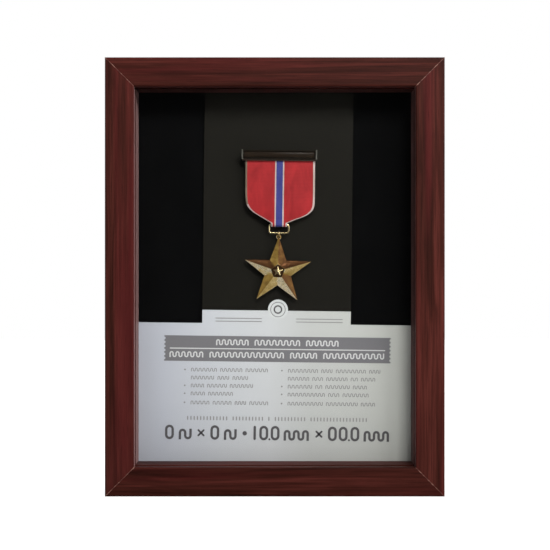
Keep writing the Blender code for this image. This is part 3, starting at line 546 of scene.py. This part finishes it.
def spline(points, steps):
    """Catmull-Rom points through a short list, ends included."""
    padded = [points[0], *points, points[-1]]
    found = []
    for i in range(len(points) - 1):
        a, b, c, d = (Vector(p) for p in padded[i : i + 4])
        for k in range(steps):
            t = k / steps
            found.append(
                0.5 * (2 * b + (c - a) * t + (2 * a - 5 * b + 4 * c - d) * t**2 + (3 * b - a - 3 * c + d) * t**3)
            )
    found.append(Vector(points[-1]))
    return found


# --- Frame ---


def set_material(node, material):
    mesh = NODES[node].data
    mesh.materials.clear()
    mesh.materials.append(material)


def dress_frame():
    """Each rail and spacer gets its own stretch of the moulding's grain and its own painted sheen: strongest on
    the left, weaker on the right, faint on top and bottom.
    """
    # Last column: painted sheen weight, high where the wall catches the light
    for side, axis, shift, rail_sheen in (
        ("left", "Z", (1.3, 0.2, 0.4), 0.28),
        ("right", "Z", (7.1, 2.6, 3.9), 0.17),
        ("top", "X", (4.4, 5.8, 8.2), 0.05),
        ("bottom", "X", (2.9, 9.3, 6.7), 0.01),
    ):
        rail, spacer = "frame_rail_" + side, "spacer_" + side
        set_material(rail, mahogany(rail + "_grain", axis, shift, rail_sheen))
        shade(NODES[rail].data, 32)
        inward = tuple(value + 10 for value in shift)
        set_material(spacer, mahogany(spacer + "_grain", axis, inward, rail_sheen, raw_back=False))
    set_material("glass_pane", pane_glass())


def make_mitre_lines():
    """The worn line of glue and foil edge that fills each mitre."""
    line = mitre_glue()
    profile = arc((OUTER_EASE, OUTER_EASE), OUTER_EASE, 180, 270, 4)
    profile += arc((RAIL_FACE - INNER_EASE, INNER_EASE), INNER_EASE, 270, 360, 3)
    frame_depth = REAR_Y - FRONT_Y
    profile += [(RAIL_FACE, LIP_DEPTH), (RAIL_WALL, LIP_DEPTH), (RAIL_WALL, frame_depth), (0.0, frame_depth)]
    half = MITRE_FILL / 2 / 2**0.5
    corners = ("top_left", 1, -1), ("top_right", -1, -1), ("bottom_left", 1, 1), ("bottom_right", -1, 1)
    for name, side, rise in corners:
        corner_x = FRAME_LOW.x if side > 0 else FRAME_HIGH.x
        corner_z = 0.0 if rise > 0 else FRAME_TOP
        shape = bmesh.new()
        near, far = (
            [
                shape.verts.new((corner_x + side * (x + offset), FRONT_Y + depth, corner_z + rise * (x - offset)))
                for x, depth in profile
            ]
            for offset in (-half, half)
        )
        shape.faces.new(near)
        shape.faces.new(far[::-1])
        bridge(shape, near, far)
        make_piece(f"mitre_line_{name}", shape, line, "frame")


# --- Backing and card ---


def make_velour():
    """The velour pad: soft edges, and a pile that is never quite level."""
    low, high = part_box("velour_pad")
    columns, rows = 96, 128
    round_edge = 0.9 * MM
    shape = bmesh.new()
    grid = []
    for j in range(rows + 1):
        line = []
        for i in range(columns + 1):
            x = low.x + (high.x - low.x) * i / columns
            z = low.z + (high.z - low.z) * j / rows
            edge = min(x - low.x, high.x - x, z - low.z, high.z - z)
            drop = round_edge * max(0.0, 1 - edge / (2 * round_edge)) ** 2
            lump = noise.noise(Vector((x, 0, z)) * 90) * 0.05 * MM
            lump += noise.noise(Vector((x, 5, z)) * 700) * 0.03 * MM
            line.append(shape.verts.new((x, low.y + 0.09 * MM + drop + lump, z)))
        grid.append(line)
    for j in range(rows):
        for i in range(columns):
            shape.faces.new((grid[j][i], grid[j][i + 1], grid[j + 1][i + 1], grid[j + 1][i]))
    rim = grid[0] + [line[-1] for line in grid[1:]] + grid[-1][-2::-1] + [line[0] for line in grid[-2:0:-1]]
    back = [shape.verts.new((vert.co.x, high.y, vert.co.z)) for vert in rim]
    bridge(shape, rim, back)
    shape.faces.new(back)
    pad = make_piece("velour_backing", shape, velour(), "back_panel", smooth=40)
    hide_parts("velour_pad")


def make_card():
    """The insert card, with the dark neck and the pale panel as ink on its face."""
    # The card's material carries painted shade, darker towards its sides and foot
    white = printed("card_silver_white", (0.585, 0.590, 0.605), rough=0.38, painted_shade=True)
    half, neck = CARD_HALF, NECK_HALF
    outline = rectangle(NECK_X - neck, NECK_X + neck, PANEL_TOP, CARD_HEIGHT)
    outline = [(-half, 0), (half, 0), (half, PANEL_TOP), *outline[1:], outline[0], (-half, PANEL_TOP)]
    shape = bmesh.new()
    prism(shape, outline, CARD_FRONT, CARD_HIGH.y)
    card = make_piece("insert_card_sheet", shape, white, "back_panel", CARD_FRAME)
    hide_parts("insert_card")
    soften(card, 0.08 * MM, 1)


def ink(name, outlines, layer, material):
    """Thin films of ink on the card. Higher layers lie on lower ones. A ring is a pair of outlines."""
    shape = bmesh.new()
    near = CARD_FRONT - (layer + 1) * INK
    for outline in outlines:
        if isinstance(outline, tuple):
            band(shape, *outline, near, near + INK * 0.8)
        else:
            prism(shape, outline, near, near + INK * 0.8)
    return make_piece(name, shape, material, "back_panel", CARD_FRAME)


def blocks(left, right, middle, height, words, stroke):
    """A line of wordless print: evenly spaced upright bars, in groups the length of words."""
    pitch = (right - left) / (sum(words) + len(words) - 1)
    outlines = []
    spot = left
    for count in words:
        for _ in range(count):
            outlines.append(pill((spot + pitch / 2, middle), min(stroke, 0.4 * pitch), height, 2))
            spot += pitch
        spot += pitch
    return outlines


def wave(left, right, foot, top, stroke, pitch):
    """One unbroken scribble in place of a word: upright strokes joined over and under by half rounds."""
    uprights = max(3, round((right - left - stroke) / pitch) + 1)
    pitch = (right - left - stroke) / (uprights - 1)
    bend = pitch / 2
    near_side, far_side = [], []
    for i in range(uprights):
        x = left + stroke / 2 + i * pitch
        rising = i % 2 == 0
        if i == 0:
            near_side += [(x - stroke / 2, foot)]
            far_side += [(x + stroke / 2, foot)]
        if i == uprights - 1:
            end = top if rising else foot
            near_side.append((x - stroke / 2 if rising else x + stroke / 2, end))
            far_side.append((x + stroke / 2 if rising else x - stroke / 2, end))
            break
        outer, inner = bend + stroke / 2, bend - stroke / 2
        if rising:
            centre = (x + bend, top - outer)
            near_side += arc(centre, outer, 180, 0, 6)
            far_side += arc(centre, inner, 180, 0, 6)
        else:
            centre = (x + bend, foot + outer)
            near_side += arc(centre, inner, 180, 360, 6)
            far_side += arc(centre, outer, 180, 360, 6)
    return near_side + far_side[::-1]


def wave_line(left, right, middle, words, height, stroke, pitch):
    """A line of wordless print: scribbles of the words' lengths, evenly set between two margins."""
    gap = 0.9
    step = (right - left) / (sum(words) + gap * (len(words) - 1))
    foot, top = middle - height / 2, middle + height / 2
    outlines = []
    spot = left
    for count in words:
        outlines.append(wave(spot, spot + count * step, foot, top, stroke, pitch))
        spot += (count + gap) * step
    return outlines


def scalloped(left, right, foot, top, bites=6, bite=0.72 * MM):
    """A banner with small round bites out of both ends, as a stamp's edge."""
    step = (top - foot) / (bites + 0.4)
    margin = 0.2 * step
    right_side = [(right, foot)]
    left_side = [(left, foot)]
    for i in range(bites):
        low = foot + margin + i * step
        middle = low + step / 2
        right_side += arc((right, middle), bite, 270, 90, 4)
        left_side += arc((left, middle), bite, -90, 90, 4)
    right_side.append((right, top))
    left_side.append((left, top))
    return right_side + left_side[::-1]


def star_points(radius, valley, turn=0.0):
    reaches = [radius if i % 2 == 0 else valley for i in range(10)]
    return [(reach * sin(i * pi / 5 + turn), reach * cos(i * pi / 5 + turn)) for i, reach in enumerate(reaches)]


def make_print():
    """All the ink on the card. Words are scribbles, and the mark is a plain ring."""
    dark_neck = printed("ink_neck", (0.0102, 0.0092, 0.0073), rough=0.55, specular=0.05)
    grey = printed("ink_grey", (0.160, 0.152, 0.165), rough=0.45)
    pale = printed("ink_pale", (0.58, 0.57, 0.58), rough=0.45)
    charcoal = printed("ink_charcoal", (0.078, 0.072, 0.078), rough=0.45)
    soft_grey = printed("ink_soft_grey", (0.240, 0.230, 0.235), rough=0.45)

    neck = rectangle(NECK_X - NECK_HALF, NECK_X + NECK_HALF, DARK_FOOT, CARD_HEIGHT)
    ink("print_dark_neck", [neck], 0, dark_neck)
    print_banner(grey, pale)
    print_tab(charcoal)
    print_small_text(soft_grey)
    print_big_line(charcoal)


def print_banner(ground, pale):
    """The grey band with two pale lines of words and a rule between them."""
    half, foot, top = 59.9 * MM, 55.8 * MM, 69.3 * MM
    ink("print_banner", [scalloped(PRINT_X - half, PRINT_X + half, foot, top)], 0, ground)
    middle = (foot + top) / 2
    words = [pill((PRINT_X, middle), 114.0 * MM, 0.55 * MM)]
    letters = {"height": 3.2 * MM, "stroke": 0.68 * MM, "pitch": 1.55 * MM}
    words += wave_line(-31.4 * MM, 33.4 * MM, middle + 3.4 * MM, (5, 7, 5), **letters)
    words += wave_line(-56.0 * MM, 57.6 * MM, middle - 3.2 * MM, (5, 11, 4, 9), **letters)
    ink("print_banner_words", words, 1, pale)


def print_tab(mark):
    """The round white tab at the neck's foot, with a plain ring for a mark."""
    centre = (PRINT_X, 83.6 * MM)
    white = printed("ink_tab_white", (0.565, 0.570, 0.580), rough=0.42)
    ink("print_tab", [arc(centre, 5.3 * MM, 0, 345, 24)], 1, white)
    rings = [oval(centre, 8.0 * MM, 8.01 * MM, 0.3 * MM, 16), oval(centre, 4.6 * MM, 4.61 * MM, 0.75 * MM, 12)]
    ink("print_ring", rings, 2, mark)


def print_small_text(tone):
    """Two rules at each side of the tab, two columns of small lines, and one line across the card."""
    rules = []
    for left, right in ((-33.0, -8.4), (9.6, 34.4)):
        for height in (77.1, 78.7):
            middle = (PRINT_X + (left + right) / 2 * MM, height * MM)
            rules.append(pill(middle, (right - left) * MM, 0.45 * MM))
    ink("print_rules", rules, 0, tone)

    heights = (51.3, 47.1, 42.9, 38.7, 33.9)
    without_bullet = 47.1
    # Each line of a column: its length, and how long its words are
    left_lines = ((40.6, (7, 6, 6)), (30.2, (6, 3, 4)), (32.9, (4, 6, 7)), (22.3, (4, 7)), (41.0, (5, 5, 3, 5)))
    right_lines = ((48.9, (8, 3, 8, 3)), (46.2, (6, 3, 6, 2, 4)), (41.8, (7, 2, 7, 4)), (42.8, (10, 3, 7)),
                   (46.2, (10, 9, 4)))
    letters = {"height": 2.0 * MM, "stroke": 0.42 * MM, "pitch": 1.0 * MM}
    text = []
    for start, bullet_x, lines in ((-44.5, -47.7, left_lines), (6.8, 3.6, right_lines)):
        for z, (length, words) in zip(heights, lines):
            text += wave_line(start * MM, (start + length) * MM, z * MM, words, **letters)
            if z != without_bullet:
                text.append(dot((bullet_x * MM, z * MM), 1.0 * MM))
    text += blocks(-46.8 * MM, 49.4 * MM, 25.7 * MM, 2.3 * MM, (13, 10, 1, 10, 18), 0.62 * MM)
    ink("print_text", text, 0, tone)


def print_big_line(tone):
    """The large line at the foot, in the places of its words, figures, points, crosses and dot."""
    foot = 14.3 * MM
    figure_width, figure_height = 4.7 * MM, 7.7 * MM
    word_height, stroke, point = 5.7 * MM, 1.3 * MM, 1.2 * MM
    words = ((-50.6, 6.9), (-26.7, 6.8), (4.9, 13.4), (47.2, 13.5))
    figures = (-55.5, -31.5, -5.6, 0.4, 30.7, 36.4, 42.6)
    upright, points, crosses, raised_dot = -10.4, (-2.6, 39.5), (-38.8, 23.6), -15.7
    middle = foot + 3.6 * MM
    big = []
    for start, length in words:
        big.append(wave(start * MM, (start + length) * MM, foot, foot + word_height, stroke, 2.3 * MM))
    for x in figures:
        big.append(oval((x * MM, foot + figure_height / 2), figure_width, figure_height, stroke))
    big.append(pill((upright * MM, foot + figure_height / 2), stroke, figure_height))
    for x in points:
        big.append(dot((x * MM, foot + point / 2), point))
    for x in crosses:
        for turn in (pi / 4, -pi / 4):
            bar = pill((0, 0), 5.0 * MM, 1.0 * MM)
            turned = [(a * cos(turn) - b * sin(turn), a * sin(turn) + b * cos(turn)) for a, b in bar]
            big.append([(x * MM + a, middle + b) for a, b in turned])
    big.append(dot((raised_dot * MM, middle), 2.4 * MM, 6))
    ink("print_size_line", big, 0, tone)


# --- Medal ---


def brooch_enamel():
    """Dark brown enamel, almost smooth, with a faint drawn grain along the bar."""
    surface = Surface("brooch_enamel", Specular_IOR_Level=0.06)
    drawn = surface.noise(along("X", 40, 1600), 3.0, 0.5)
    cloud = surface.noise(110, 3.0, 0.5)
    surface.colour(surface.mix(cloud, (0.0080, 0.0055, 0.0040), (0.024, 0.0155, 0.0100)))
    surface.roughness(surface.spread(drawn, 0.24, 0.34))
    surface.bump(drawn, 0.012 * MM, 0.3)
    return surface.material


def make_brooch():
    """Over the CAD bar: a cushioned dark inlay, a lip below it, and a grey cap at each end."""
    dark = brooch_enamel()
    cap_metal = aged_metal("brooch_cap", (0.14, 0.135, 0.12), (0.05, 0.045, 0.04), rough=0.4)
    set_material("brooch_bar", aged_metal("brooch_body", (0.022, 0.017, 0.013), (0.007, 0.006, 0.005), 0.4))
    set_material("brooch_pin", plated("pin_steel", (0.55, 0.56, 0.58)))
    half_length = BROOCH_LENGTH / 2 - 0.75 * MM
    half_height = BROOCH_HEIGHT / 2 - 0.95 * MM
    crown, crown_foot, inlay_back = 0.40 * MM, BROOCH_FRONT + 0.30 * MM, BROOCH_FRONT + 0.48 * MM
    end_slope, steps = 0.4 * MM, 10
    shape = bmesh.new()
    sections = []
    for x in (-half_length, -half_length + end_slope, half_length - end_slope, half_length):
        inset = 0.25 * MM if abs(x) >= half_length else 0.0
        rise, half = crown - inset, half_height - inset
        turns = [pi * i / steps for i in range(steps + 1)]
        ring = [shape.verts.new((x, crown_foot - rise * sin(turn), half * cos(turn))) for turn in turns]
        ring += [shape.verts.new((x, inlay_back, z)) for z in (-half, half)]
        sections.append(ring)
    for a, b in zip(sections, sections[1:]):
        bridge(shape, a, b)
    shape.faces.new(sections[0])
    shape.faces.new(sections[-1][::-1])
    spot = CARD_FRAME @ Matrix.Translation((MEDAL_X, 0, BROOCH_Z))
    make_piece("brooch_inlay", shape, dark, "back_panel", spot, smooth=40)
    lip_metal = aged_metal("brooch_lip_metal", (0.055, 0.042, 0.034), (0.02, 0.015, 0.012), rough=0.5)
    shape = bmesh.new()
    half, drop, lip_height, gap = BROOCH_LENGTH / 2 + 0.5 * MM, BROOCH_HEIGHT / 2, 0.85 * MM, 0.08 * MM
    prism(shape, rectangle(-half, half, -drop - lip_height, -drop - gap), 0, 0.5 * MM)
    place = CARD_FRAME @ Matrix.Translation((MEDAL_X, BROOCH_FRONT + 0.45 * MM, BROOCH_Z))
    soften(make_piece("brooch_lip", shape, lip_metal, "back_panel", place), 0.1 * MM, 2)
    for name, side in (("left", -1), ("right", 1)):
        shape = bmesh.new()
        size = (0.7 * MM, 1.5 * MM, BROOCH_HEIGHT + 0.3 * MM)
        bmesh.ops.create_cube(shape, size=1.0, matrix=Matrix.Diagonal((*size, 1.0)))
        x = MEDAL_X + side * (BROOCH_LENGTH / 2 + 0.36 * MM)
        place = CARD_FRAME @ Matrix.Translation((x, BROOCH_FRONT + 0.2 * MM, BROOCH_Z))
        cap = make_piece(f"brooch_cap_{name}", shape, cap_metal, "back_panel", place)
        soften(cap, 0.12 * MM, 2)


def ribbon_edges():
    """The ribbon's two edges from its top to the loop: straight, then rounding in to the loop."""
    left = [(-18.1, 164.0), (-18.0, 150.0), (-17.8, 142.5), (-16.9, 138.2), (-13.9, 134.9), (-8.6, 131.7),
            (-4.5, 129.3)]
    right = [(18.5, 164.0), (18.6, 150.0), (18.6, 141.5), (17.9, 136.7), (14.6, 133.4), (8.4, 130.9), (4.5, 129.3)]
    return spline(left, 6), spline(right, 6)


def make_ribbon():
    """One striped strip: down the front, round the loop's top bar and up behind."""
    red = woven("ribbon_red", (0.400, 0.018, 0.022), (0.262, 0.011, 0.014))
    white = woven("ribbon_white", (0.60, 0.47, 0.47), (0.36, 0.28, 0.25))
    blue = woven("ribbon_blue", (0.050, 0.054, 0.235), (0.030, 0.034, 0.165))
    # Painted shade: a darker copy of the white edge stripe, laid on the upper part of the left edge
    edge_painted_shade = woven("ribbon_edge_painted_shade", (0.235, 0.180, 0.135), (0.150, 0.115, 0.080))
    white_index, blue_index, edge_painted_shade_index = 1, 2, 3
    front_y, back_y = RIBBON_LOW.y + 0.25 * MM, RIBBON_HIGH.y - 0.25 * MM
    fold_y, fold_radius = (front_y + back_y) / 2, (back_y - front_y) / 2
    left, right = ribbon_edges()

    # Rows down the front, round the loop and up behind: left end, right end, y, and how far down
    depth = len(left) - 1
    rows = [(a, b, front_y, i / depth) for i, (a, b) in enumerate(zip(left, right))]
    half_fold = 4.3
    fold_z = LOOP_TOP_Z / MM
    for turn in range(0, 181, 30):
        z = fold_z - fold_radius / MM * sin(radians(turn))
        y = fold_y - fold_radius * cos(radians(turn))
        rows.append((Vector((-half_fold, z)), Vector((half_fold, z)), y, 1.0))
    narrower = 0.985
    for i, (a, b) in reversed(list(enumerate(zip(left, right)))):
        rows.append((Vector((a.x * narrower, a.y)), Vector((b.x * narrower, b.y)), back_y, i / depth))

    selvedge, white_edge, blue_edge = 1.0, 2.4, 1.7
    red_steps, blue_steps = 14, 6
    blue_start = red_steps + 2
    blue_end = blue_start + blue_steps
    # How far down the left edge the painted shade reaches
    edge_painted_shade_to = 0.45
    shape = bmesh.new()
    grid = []
    for a, b, y, down in rows:
        inner_a, inner_b = a.x + selvedge, b.x - selvedge
        columns = [a.x]
        columns += [inner_a + (-white_edge - inner_a) * k / red_steps for k in range(red_steps + 1)]
        columns += [-blue_edge + 2 * blue_edge * k / blue_steps for k in range(blue_steps + 1)]
        columns += [white_edge + (inner_b - white_edge) * k / red_steps for k in range(red_steps + 1)]
        columns.append(b.x)
        line = []
        for x in columns:
            share = (x - a.x) / (b.x - a.x)
            z = a.y + (b.y - a.y) * share
            swell = 0.0
            if y < fold_y - 0.5 * fold_radius:
                belly = sin(pi * share) * sin(pi * min(down * 1.15, 1.0))
                fold_line = sin(share * 9.0 + down * 5.0) * down * (1 - down) * 1.6
                swell = -(0.42 * belly + 0.13 * fold_line) * MM
            line.append(shape.verts.new((x * MM, y + swell, z * MM)))
        grid.append(line)
    count = len(grid[0])
    for (_, _, _, down), a, b in zip(rows, grid, grid[1:]):
        for k in range(count - 1):
            face = shape.faces.new((a[k], a[k + 1], b[k + 1], b[k]))
            if blue_start <= k < blue_end:
                face.material_index = blue_index
            elif k == 0 and down < edge_painted_shade_to:
                face.material_index = edge_painted_shade_index
            elif k in (0, blue_start - 1, blue_end, count - 2):
                face.material_index = white_index
    place = CARD_FRAME @ Matrix.Translation((RIBBON_X, 0, 0))
    cloths = [red, white, blue, edge_painted_shade]
    ribbon = make_piece("ribbon_strip", shape, cloths, "back_panel", place, smooth=60)
    thick = ribbon.modifiers.new("Cloth", "SOLIDIFY")
    thick.thickness = 0.32 * MM
    thick.offset = 0.0
    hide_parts("ribbon")


def rounded_loop(width, height, radius, steps=6):
    half_w, half_h = width / 2 - radius, height / 2 - radius
    path = []
    for turn, (sx, sz) in enumerate(((1, 1), (-1, 1), (-1, -1), (1, -1))):
        path += arc((sx * half_w, sz * half_h), radius, 90 * turn, 90 * turn + 90, steps)
    return path


def make_loop(gilt):
    shape = bmesh.new()
    height = LOOP_TOP_Z - PENDANT_Z
    tube(shape, rounded_loop(LOOP_WIDTH - 2 * LOOP_WIRE, height, 1.1 * MM), LOOP_WIRE)
    place = CARD_FRAME @ Matrix.Translation((RIBBON_X, LOOP_Y, (PENDANT_Z + LOOP_TOP_Z) / 2))
    loop = make_piece("loop_wire", shape, gilt, "back_panel", place, smooth=60)
    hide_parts("suspension_loop")


def star_body(shape):
    """Ridged arms between tips and valleys, hollow-ground facets, and a struck field at the centre."""
    base_y, edge_y = 0.5 * MM, -0.25 * MM
    tip_y, ring_y = -0.75 * MM, -2.75 * MM
    valley_y = -0.45 * MM
    tip_ring, valley_ring = 3.7 * MM, 3.1 * MM
    floor_y = -1.9 * MM
    along_steps, across_steps = 12, 6

    def direction(index):
        return Vector((sin(index * pi / 5), cos(index * pi / 5)))

    grid_rows = []
    for sector in range(10):
        tip_first = sector % 2 == 0
        for s in range(across_steps):
            share = s / across_steps
            to_valley = share if tip_first else 1 - share
            a, b = direction(sector), direction(sector + 1)
            reach_a, reach_b = (STAR_RADIUS, STAR_VALLEY) if tip_first else (STAR_VALLEY, STAR_RADIUS)
            ring_a, ring_b = (tip_ring, valley_ring) if tip_first else (valley_ring, tip_ring)
            outer = a * reach_a * (1 - share) + b * reach_b * share
            inner = a * ring_a * (1 - share) + b * ring_b * share
            column = []
            for t in range(along_steps + 1):
                run = t / along_steps
                spot = outer.lerp(inner, run)
                edge_height = tip_y + (valley_y - tip_y) * to_valley
                ridge = edge_height + (ring_y + 0.55 * MM * to_valley - edge_height) * run
                hollow = 0.26 * MM * sin(pi * to_valley) * sin(pi * run) * (0.4 + 0.6 * run)
                column.append(shape.verts.new((spot.x, ridge + hollow, spot.y)))
            wall = shape.verts.new((outer.x, base_y, outer.y))
            rim = shape.verts.new((outer.x, edge_y, outer.y))
            step = inner * 0.93
            lip = shape.verts.new((step.x, floor_y, step.y))
            grid_rows.append((wall, rim, *column, lip))
    total = len(grid_rows)
    for i in range(total):
        a, b = grid_rows[i], grid_rows[(i + 1) % total]
        for k in range(len(a) - 1):
            face = shape.faces.new((a[k], b[k], b[k + 1], a[k + 1]))
            face.material_index = int(k == len(a) - 2)
    shape.faces.new([row[0] for row in grid_rows])
    centre = shape.verts.new((0, floor_y - 0.12 * MM, 0))
    for i in range(total):
        face = shape.faces.new((grid_rows[i][-1], grid_rows[(i + 1) % total][-1], centre))
        face.material_index = 1


def small_star(shape, radius, valley, back, rise):
    """A little ridged star that stands on the field."""
    ring = star_points(radius, valley)
    top = [shape.verts.new((x, back - 0.3 * rise, z)) for x, z in ring]
    foot = [shape.verts.new((x, back, z)) for x, z in ring]
    peak = shape.verts.new((0, back - rise, 0))
    bridge(shape, foot, top)
    for i in range(10):
        shape.faces.new((top[i], top[(i + 1) % 10], peak))
    shape.faces.new(foot)


def make_pendant(gilt):
    """The star, its eyelet and the jump ring, all swinging with the pendant."""
    bronze = struck_bronze()
    field = aged_metal("star_field", (0.060, 0.030, 0.014), (0.016, 0.008, 0.004), rough=0.5)
    pivot = CARD_FRAME @ Matrix.Translation((RIBBON_X, LOOP_Y, PENDANT_Z))
    hang = pivot @ Matrix.Rotation(PENDANT_TILT, 4, "Y")
    at_star = hang @ Matrix.Translation((0, 0, -STAR_DROP))

    shape = bmesh.new()
    star_body(shape)
    star = make_piece("star_body", shape, [bronze, field], "medal_pendant", at_star, smooth=22)
    soften(star, 0.05 * MM, 2, 38)
    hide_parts("medal_star", "jump_ring")

    shape = bmesh.new()
    small_star(shape, 2.75 * MM, 1.15 * MM, -1.95 * MM, 1.0 * MM)
    centre = make_piece("star_centre", shape, gilt, "medal_pendant", at_star)
    soften(centre, 0.05 * MM, 2, 25)

    shape = bmesh.new()
    prism(shape, star_points(3.25 * MM, 1.75 * MM, pi / 5), -2.04 * MM, -1.85 * MM)
    make_piece("star_field_plate", shape, field, "medal_pendant", at_star)

    shape = bmesh.new()
    tube(shape, arc((0, -2.0 * MM), 1.0 * MM, 0, 350, 35), 0.36 * MM, sides=12)
    make_piece("star_eyelet", shape, bronze, "medal_pendant", hang, smooth=60)

    shape = bmesh.new()
    tube(shape, arc((0, 0), 1.55 * MM, 0, 350, 35), 0.3 * MM, sides=12)
    ring_place = hang @ Matrix.Translation((0, 0, -0.55 * MM)) @ Matrix.Rotation(pi / 2, 4, "Z")
    make_piece("ring_wire", shape, gilt, "medal_pendant", ring_place, smooth=60)


# --- Back ---


def dress_back():
    paper = board_paper()
    zinc = plated("zinc_plate", (0.60, 0.61, 0.63))
    brass = plated("brass_plate_drawn", (0.70, 0.50, 0.20), rough=0.26, axis="Z")
    black = hinge_lacquer()
    set_material("back_board", paper)
    set_material("easel_leg", paper)
    soften(NODES["easel_leg"], 0.35 * MM, 2)
    for node in ("easel_hinge_fixed_leaf", "easel_hinge_moving_leaf"):
        set_material(node, black)
    for node in NODES:
        if node.startswith(("v_nail", "hanger", "turn_button_screw", "easel_rivet", "easel_hinge_pin")):
            set_material(node, zinc)
        elif node.startswith("turn_button"):
            set_material(node, brass)
            soften(NODES[node], 0.18 * MM, 2)
        if node.startswith(("turn_button_screw", "easel_rivet", "easel_hinge")) or "_nail_" in node:
            shade(NODES[node].data, 38)


# --- Studio ---

CAMERA_DISTANCE = 480.0 * MM
CAMERA_HEIGHT = FRAME_TOP / 2 + 0.97 * MM
VIEW_WIDTH = 280.8 * MM
SENSOR = 36.0
FLOOR_REACH = 1.15
# Each softbox: azimuth and elevation in degrees, distance and size in metres, power in watts, and tint
SOFTBOXES = {
    "key": (18, 38, 1.1, 0.36, 10.0, (1.0, 0.985, 0.965)),
    "side": (55, 20, 1.1, 0.75, 8.6, (1.0, 0.99, 0.98)),
    "fill": (-42, 25, 1.2, 0.9, 1.7, (0.95, 0.97, 1.0)),
    "back_left": (215, 38, 1.2, 0.8, 10.0, (1.0, 1.0, 1.0)),
    "back_right": (140, 30, 1.2, 0.8, 7.0, (1.0, 1.0, 1.0)),
}


def make_camera():
    camera = add_object("camera", bpy.data.cameras.new("camera"))
    camera.data.sensor_width = SENSOR
    camera.data.lens = SENSOR * CAMERA_DISTANCE / VIEW_WIDTH
    camera.location = (0.1 * MM, FRONT_Y - CAMERA_DISTANCE, CAMERA_HEIGHT)
    camera.rotation_euler = (pi / 2, 0, 0)
    bpy.context.scene.camera = camera


def add_softbox(name, azimuth, elevation, distance, size, power, tint):
    """A square soft light that faces the middle of the box. Azimuth 0 is in front, 90 on the right."""
    lamp = bpy.data.lights.new(name, "AREA")
    lamp.size = size
    lamp.energy = power
    lamp.color = tint
    obj = add_object(name, lamp)
    a, e = radians(azimuth), radians(elevation)
    away = Vector((sin(a) * cos(e), -cos(a) * cos(e), sin(e)))
    obj.location = Vector((0, 0, FRAME_TOP / 2)) + away * distance
    obj.rotation_euler = (-away).to_track_quat("-Z", "Y").to_euler()


def make_world():
    """White to the camera, a soft grey glow to the object, and dark in reflections."""
    world = bpy.data.worlds.new("studio")
    world.use_nodes = True
    nodes, links = world.node_tree.nodes, world.node_tree.links
    background = nodes["Background"]
    background.inputs["Color"].default_value = (1, 1, 1, 1)
    rays = nodes.new("ShaderNodeLightPath")
    glow, glow_in_reflections = 0.13, 0.03
    glossy = nodes.new("ShaderNodeMapRange")
    glossy.inputs[3].default_value = glow
    glossy.inputs[4].default_value = glow_in_reflections
    links.new(rays.outputs["Is Glossy Ray"], glossy.inputs[0])
    seen = nodes.new("ShaderNodeMath")
    seen.operation = "MAXIMUM"
    links.new(rays.outputs["Is Camera Ray"], seen.inputs[0])
    links.new(glossy.outputs[0], seen.inputs[1])
    links.new(seen.outputs[0], background.inputs["Strength"])
    bpy.context.scene.world = world


def make_studio():
    make_world()
    make_camera()
    for name, settings in SOFTBOXES.items():
        add_softbox(name, *settings)
    shape = bmesh.new()
    outline = rectangle(-FLOOR_REACH, FLOOR_REACH, -FLOOR_REACH, FLOOR_REACH)
    shape.faces.new([shape.verts.new((x, y, 0)) for x, y in outline])
    mesh = bpy.data.meshes.new("floor")
    shape.to_mesh(mesh)
    shape.free()
    mesh.materials.append(floor_paper())
    floor = add_object("floor", mesh)
    floor.location.z = -0.1 * MM
    scene = bpy.context.scene
    scene.view_settings.view_transform = "Standard"
    scene.view_settings.look = "None"


def main():
    make_studio()
    dress_frame()
    make_mitre_lines()
    make_velour()
    make_card()
    make_print()
    gilt = aged_metal("gilt_wire_metal", (0.72, 0.56, 0.30), (0.26, 0.17, 0.07), rough=0.24)
    make_brooch()
    make_loop(gilt)
    make_ribbon()
    make_pendant(gilt)
    dress_back()
    bpy.context.view_layer.update()


main()
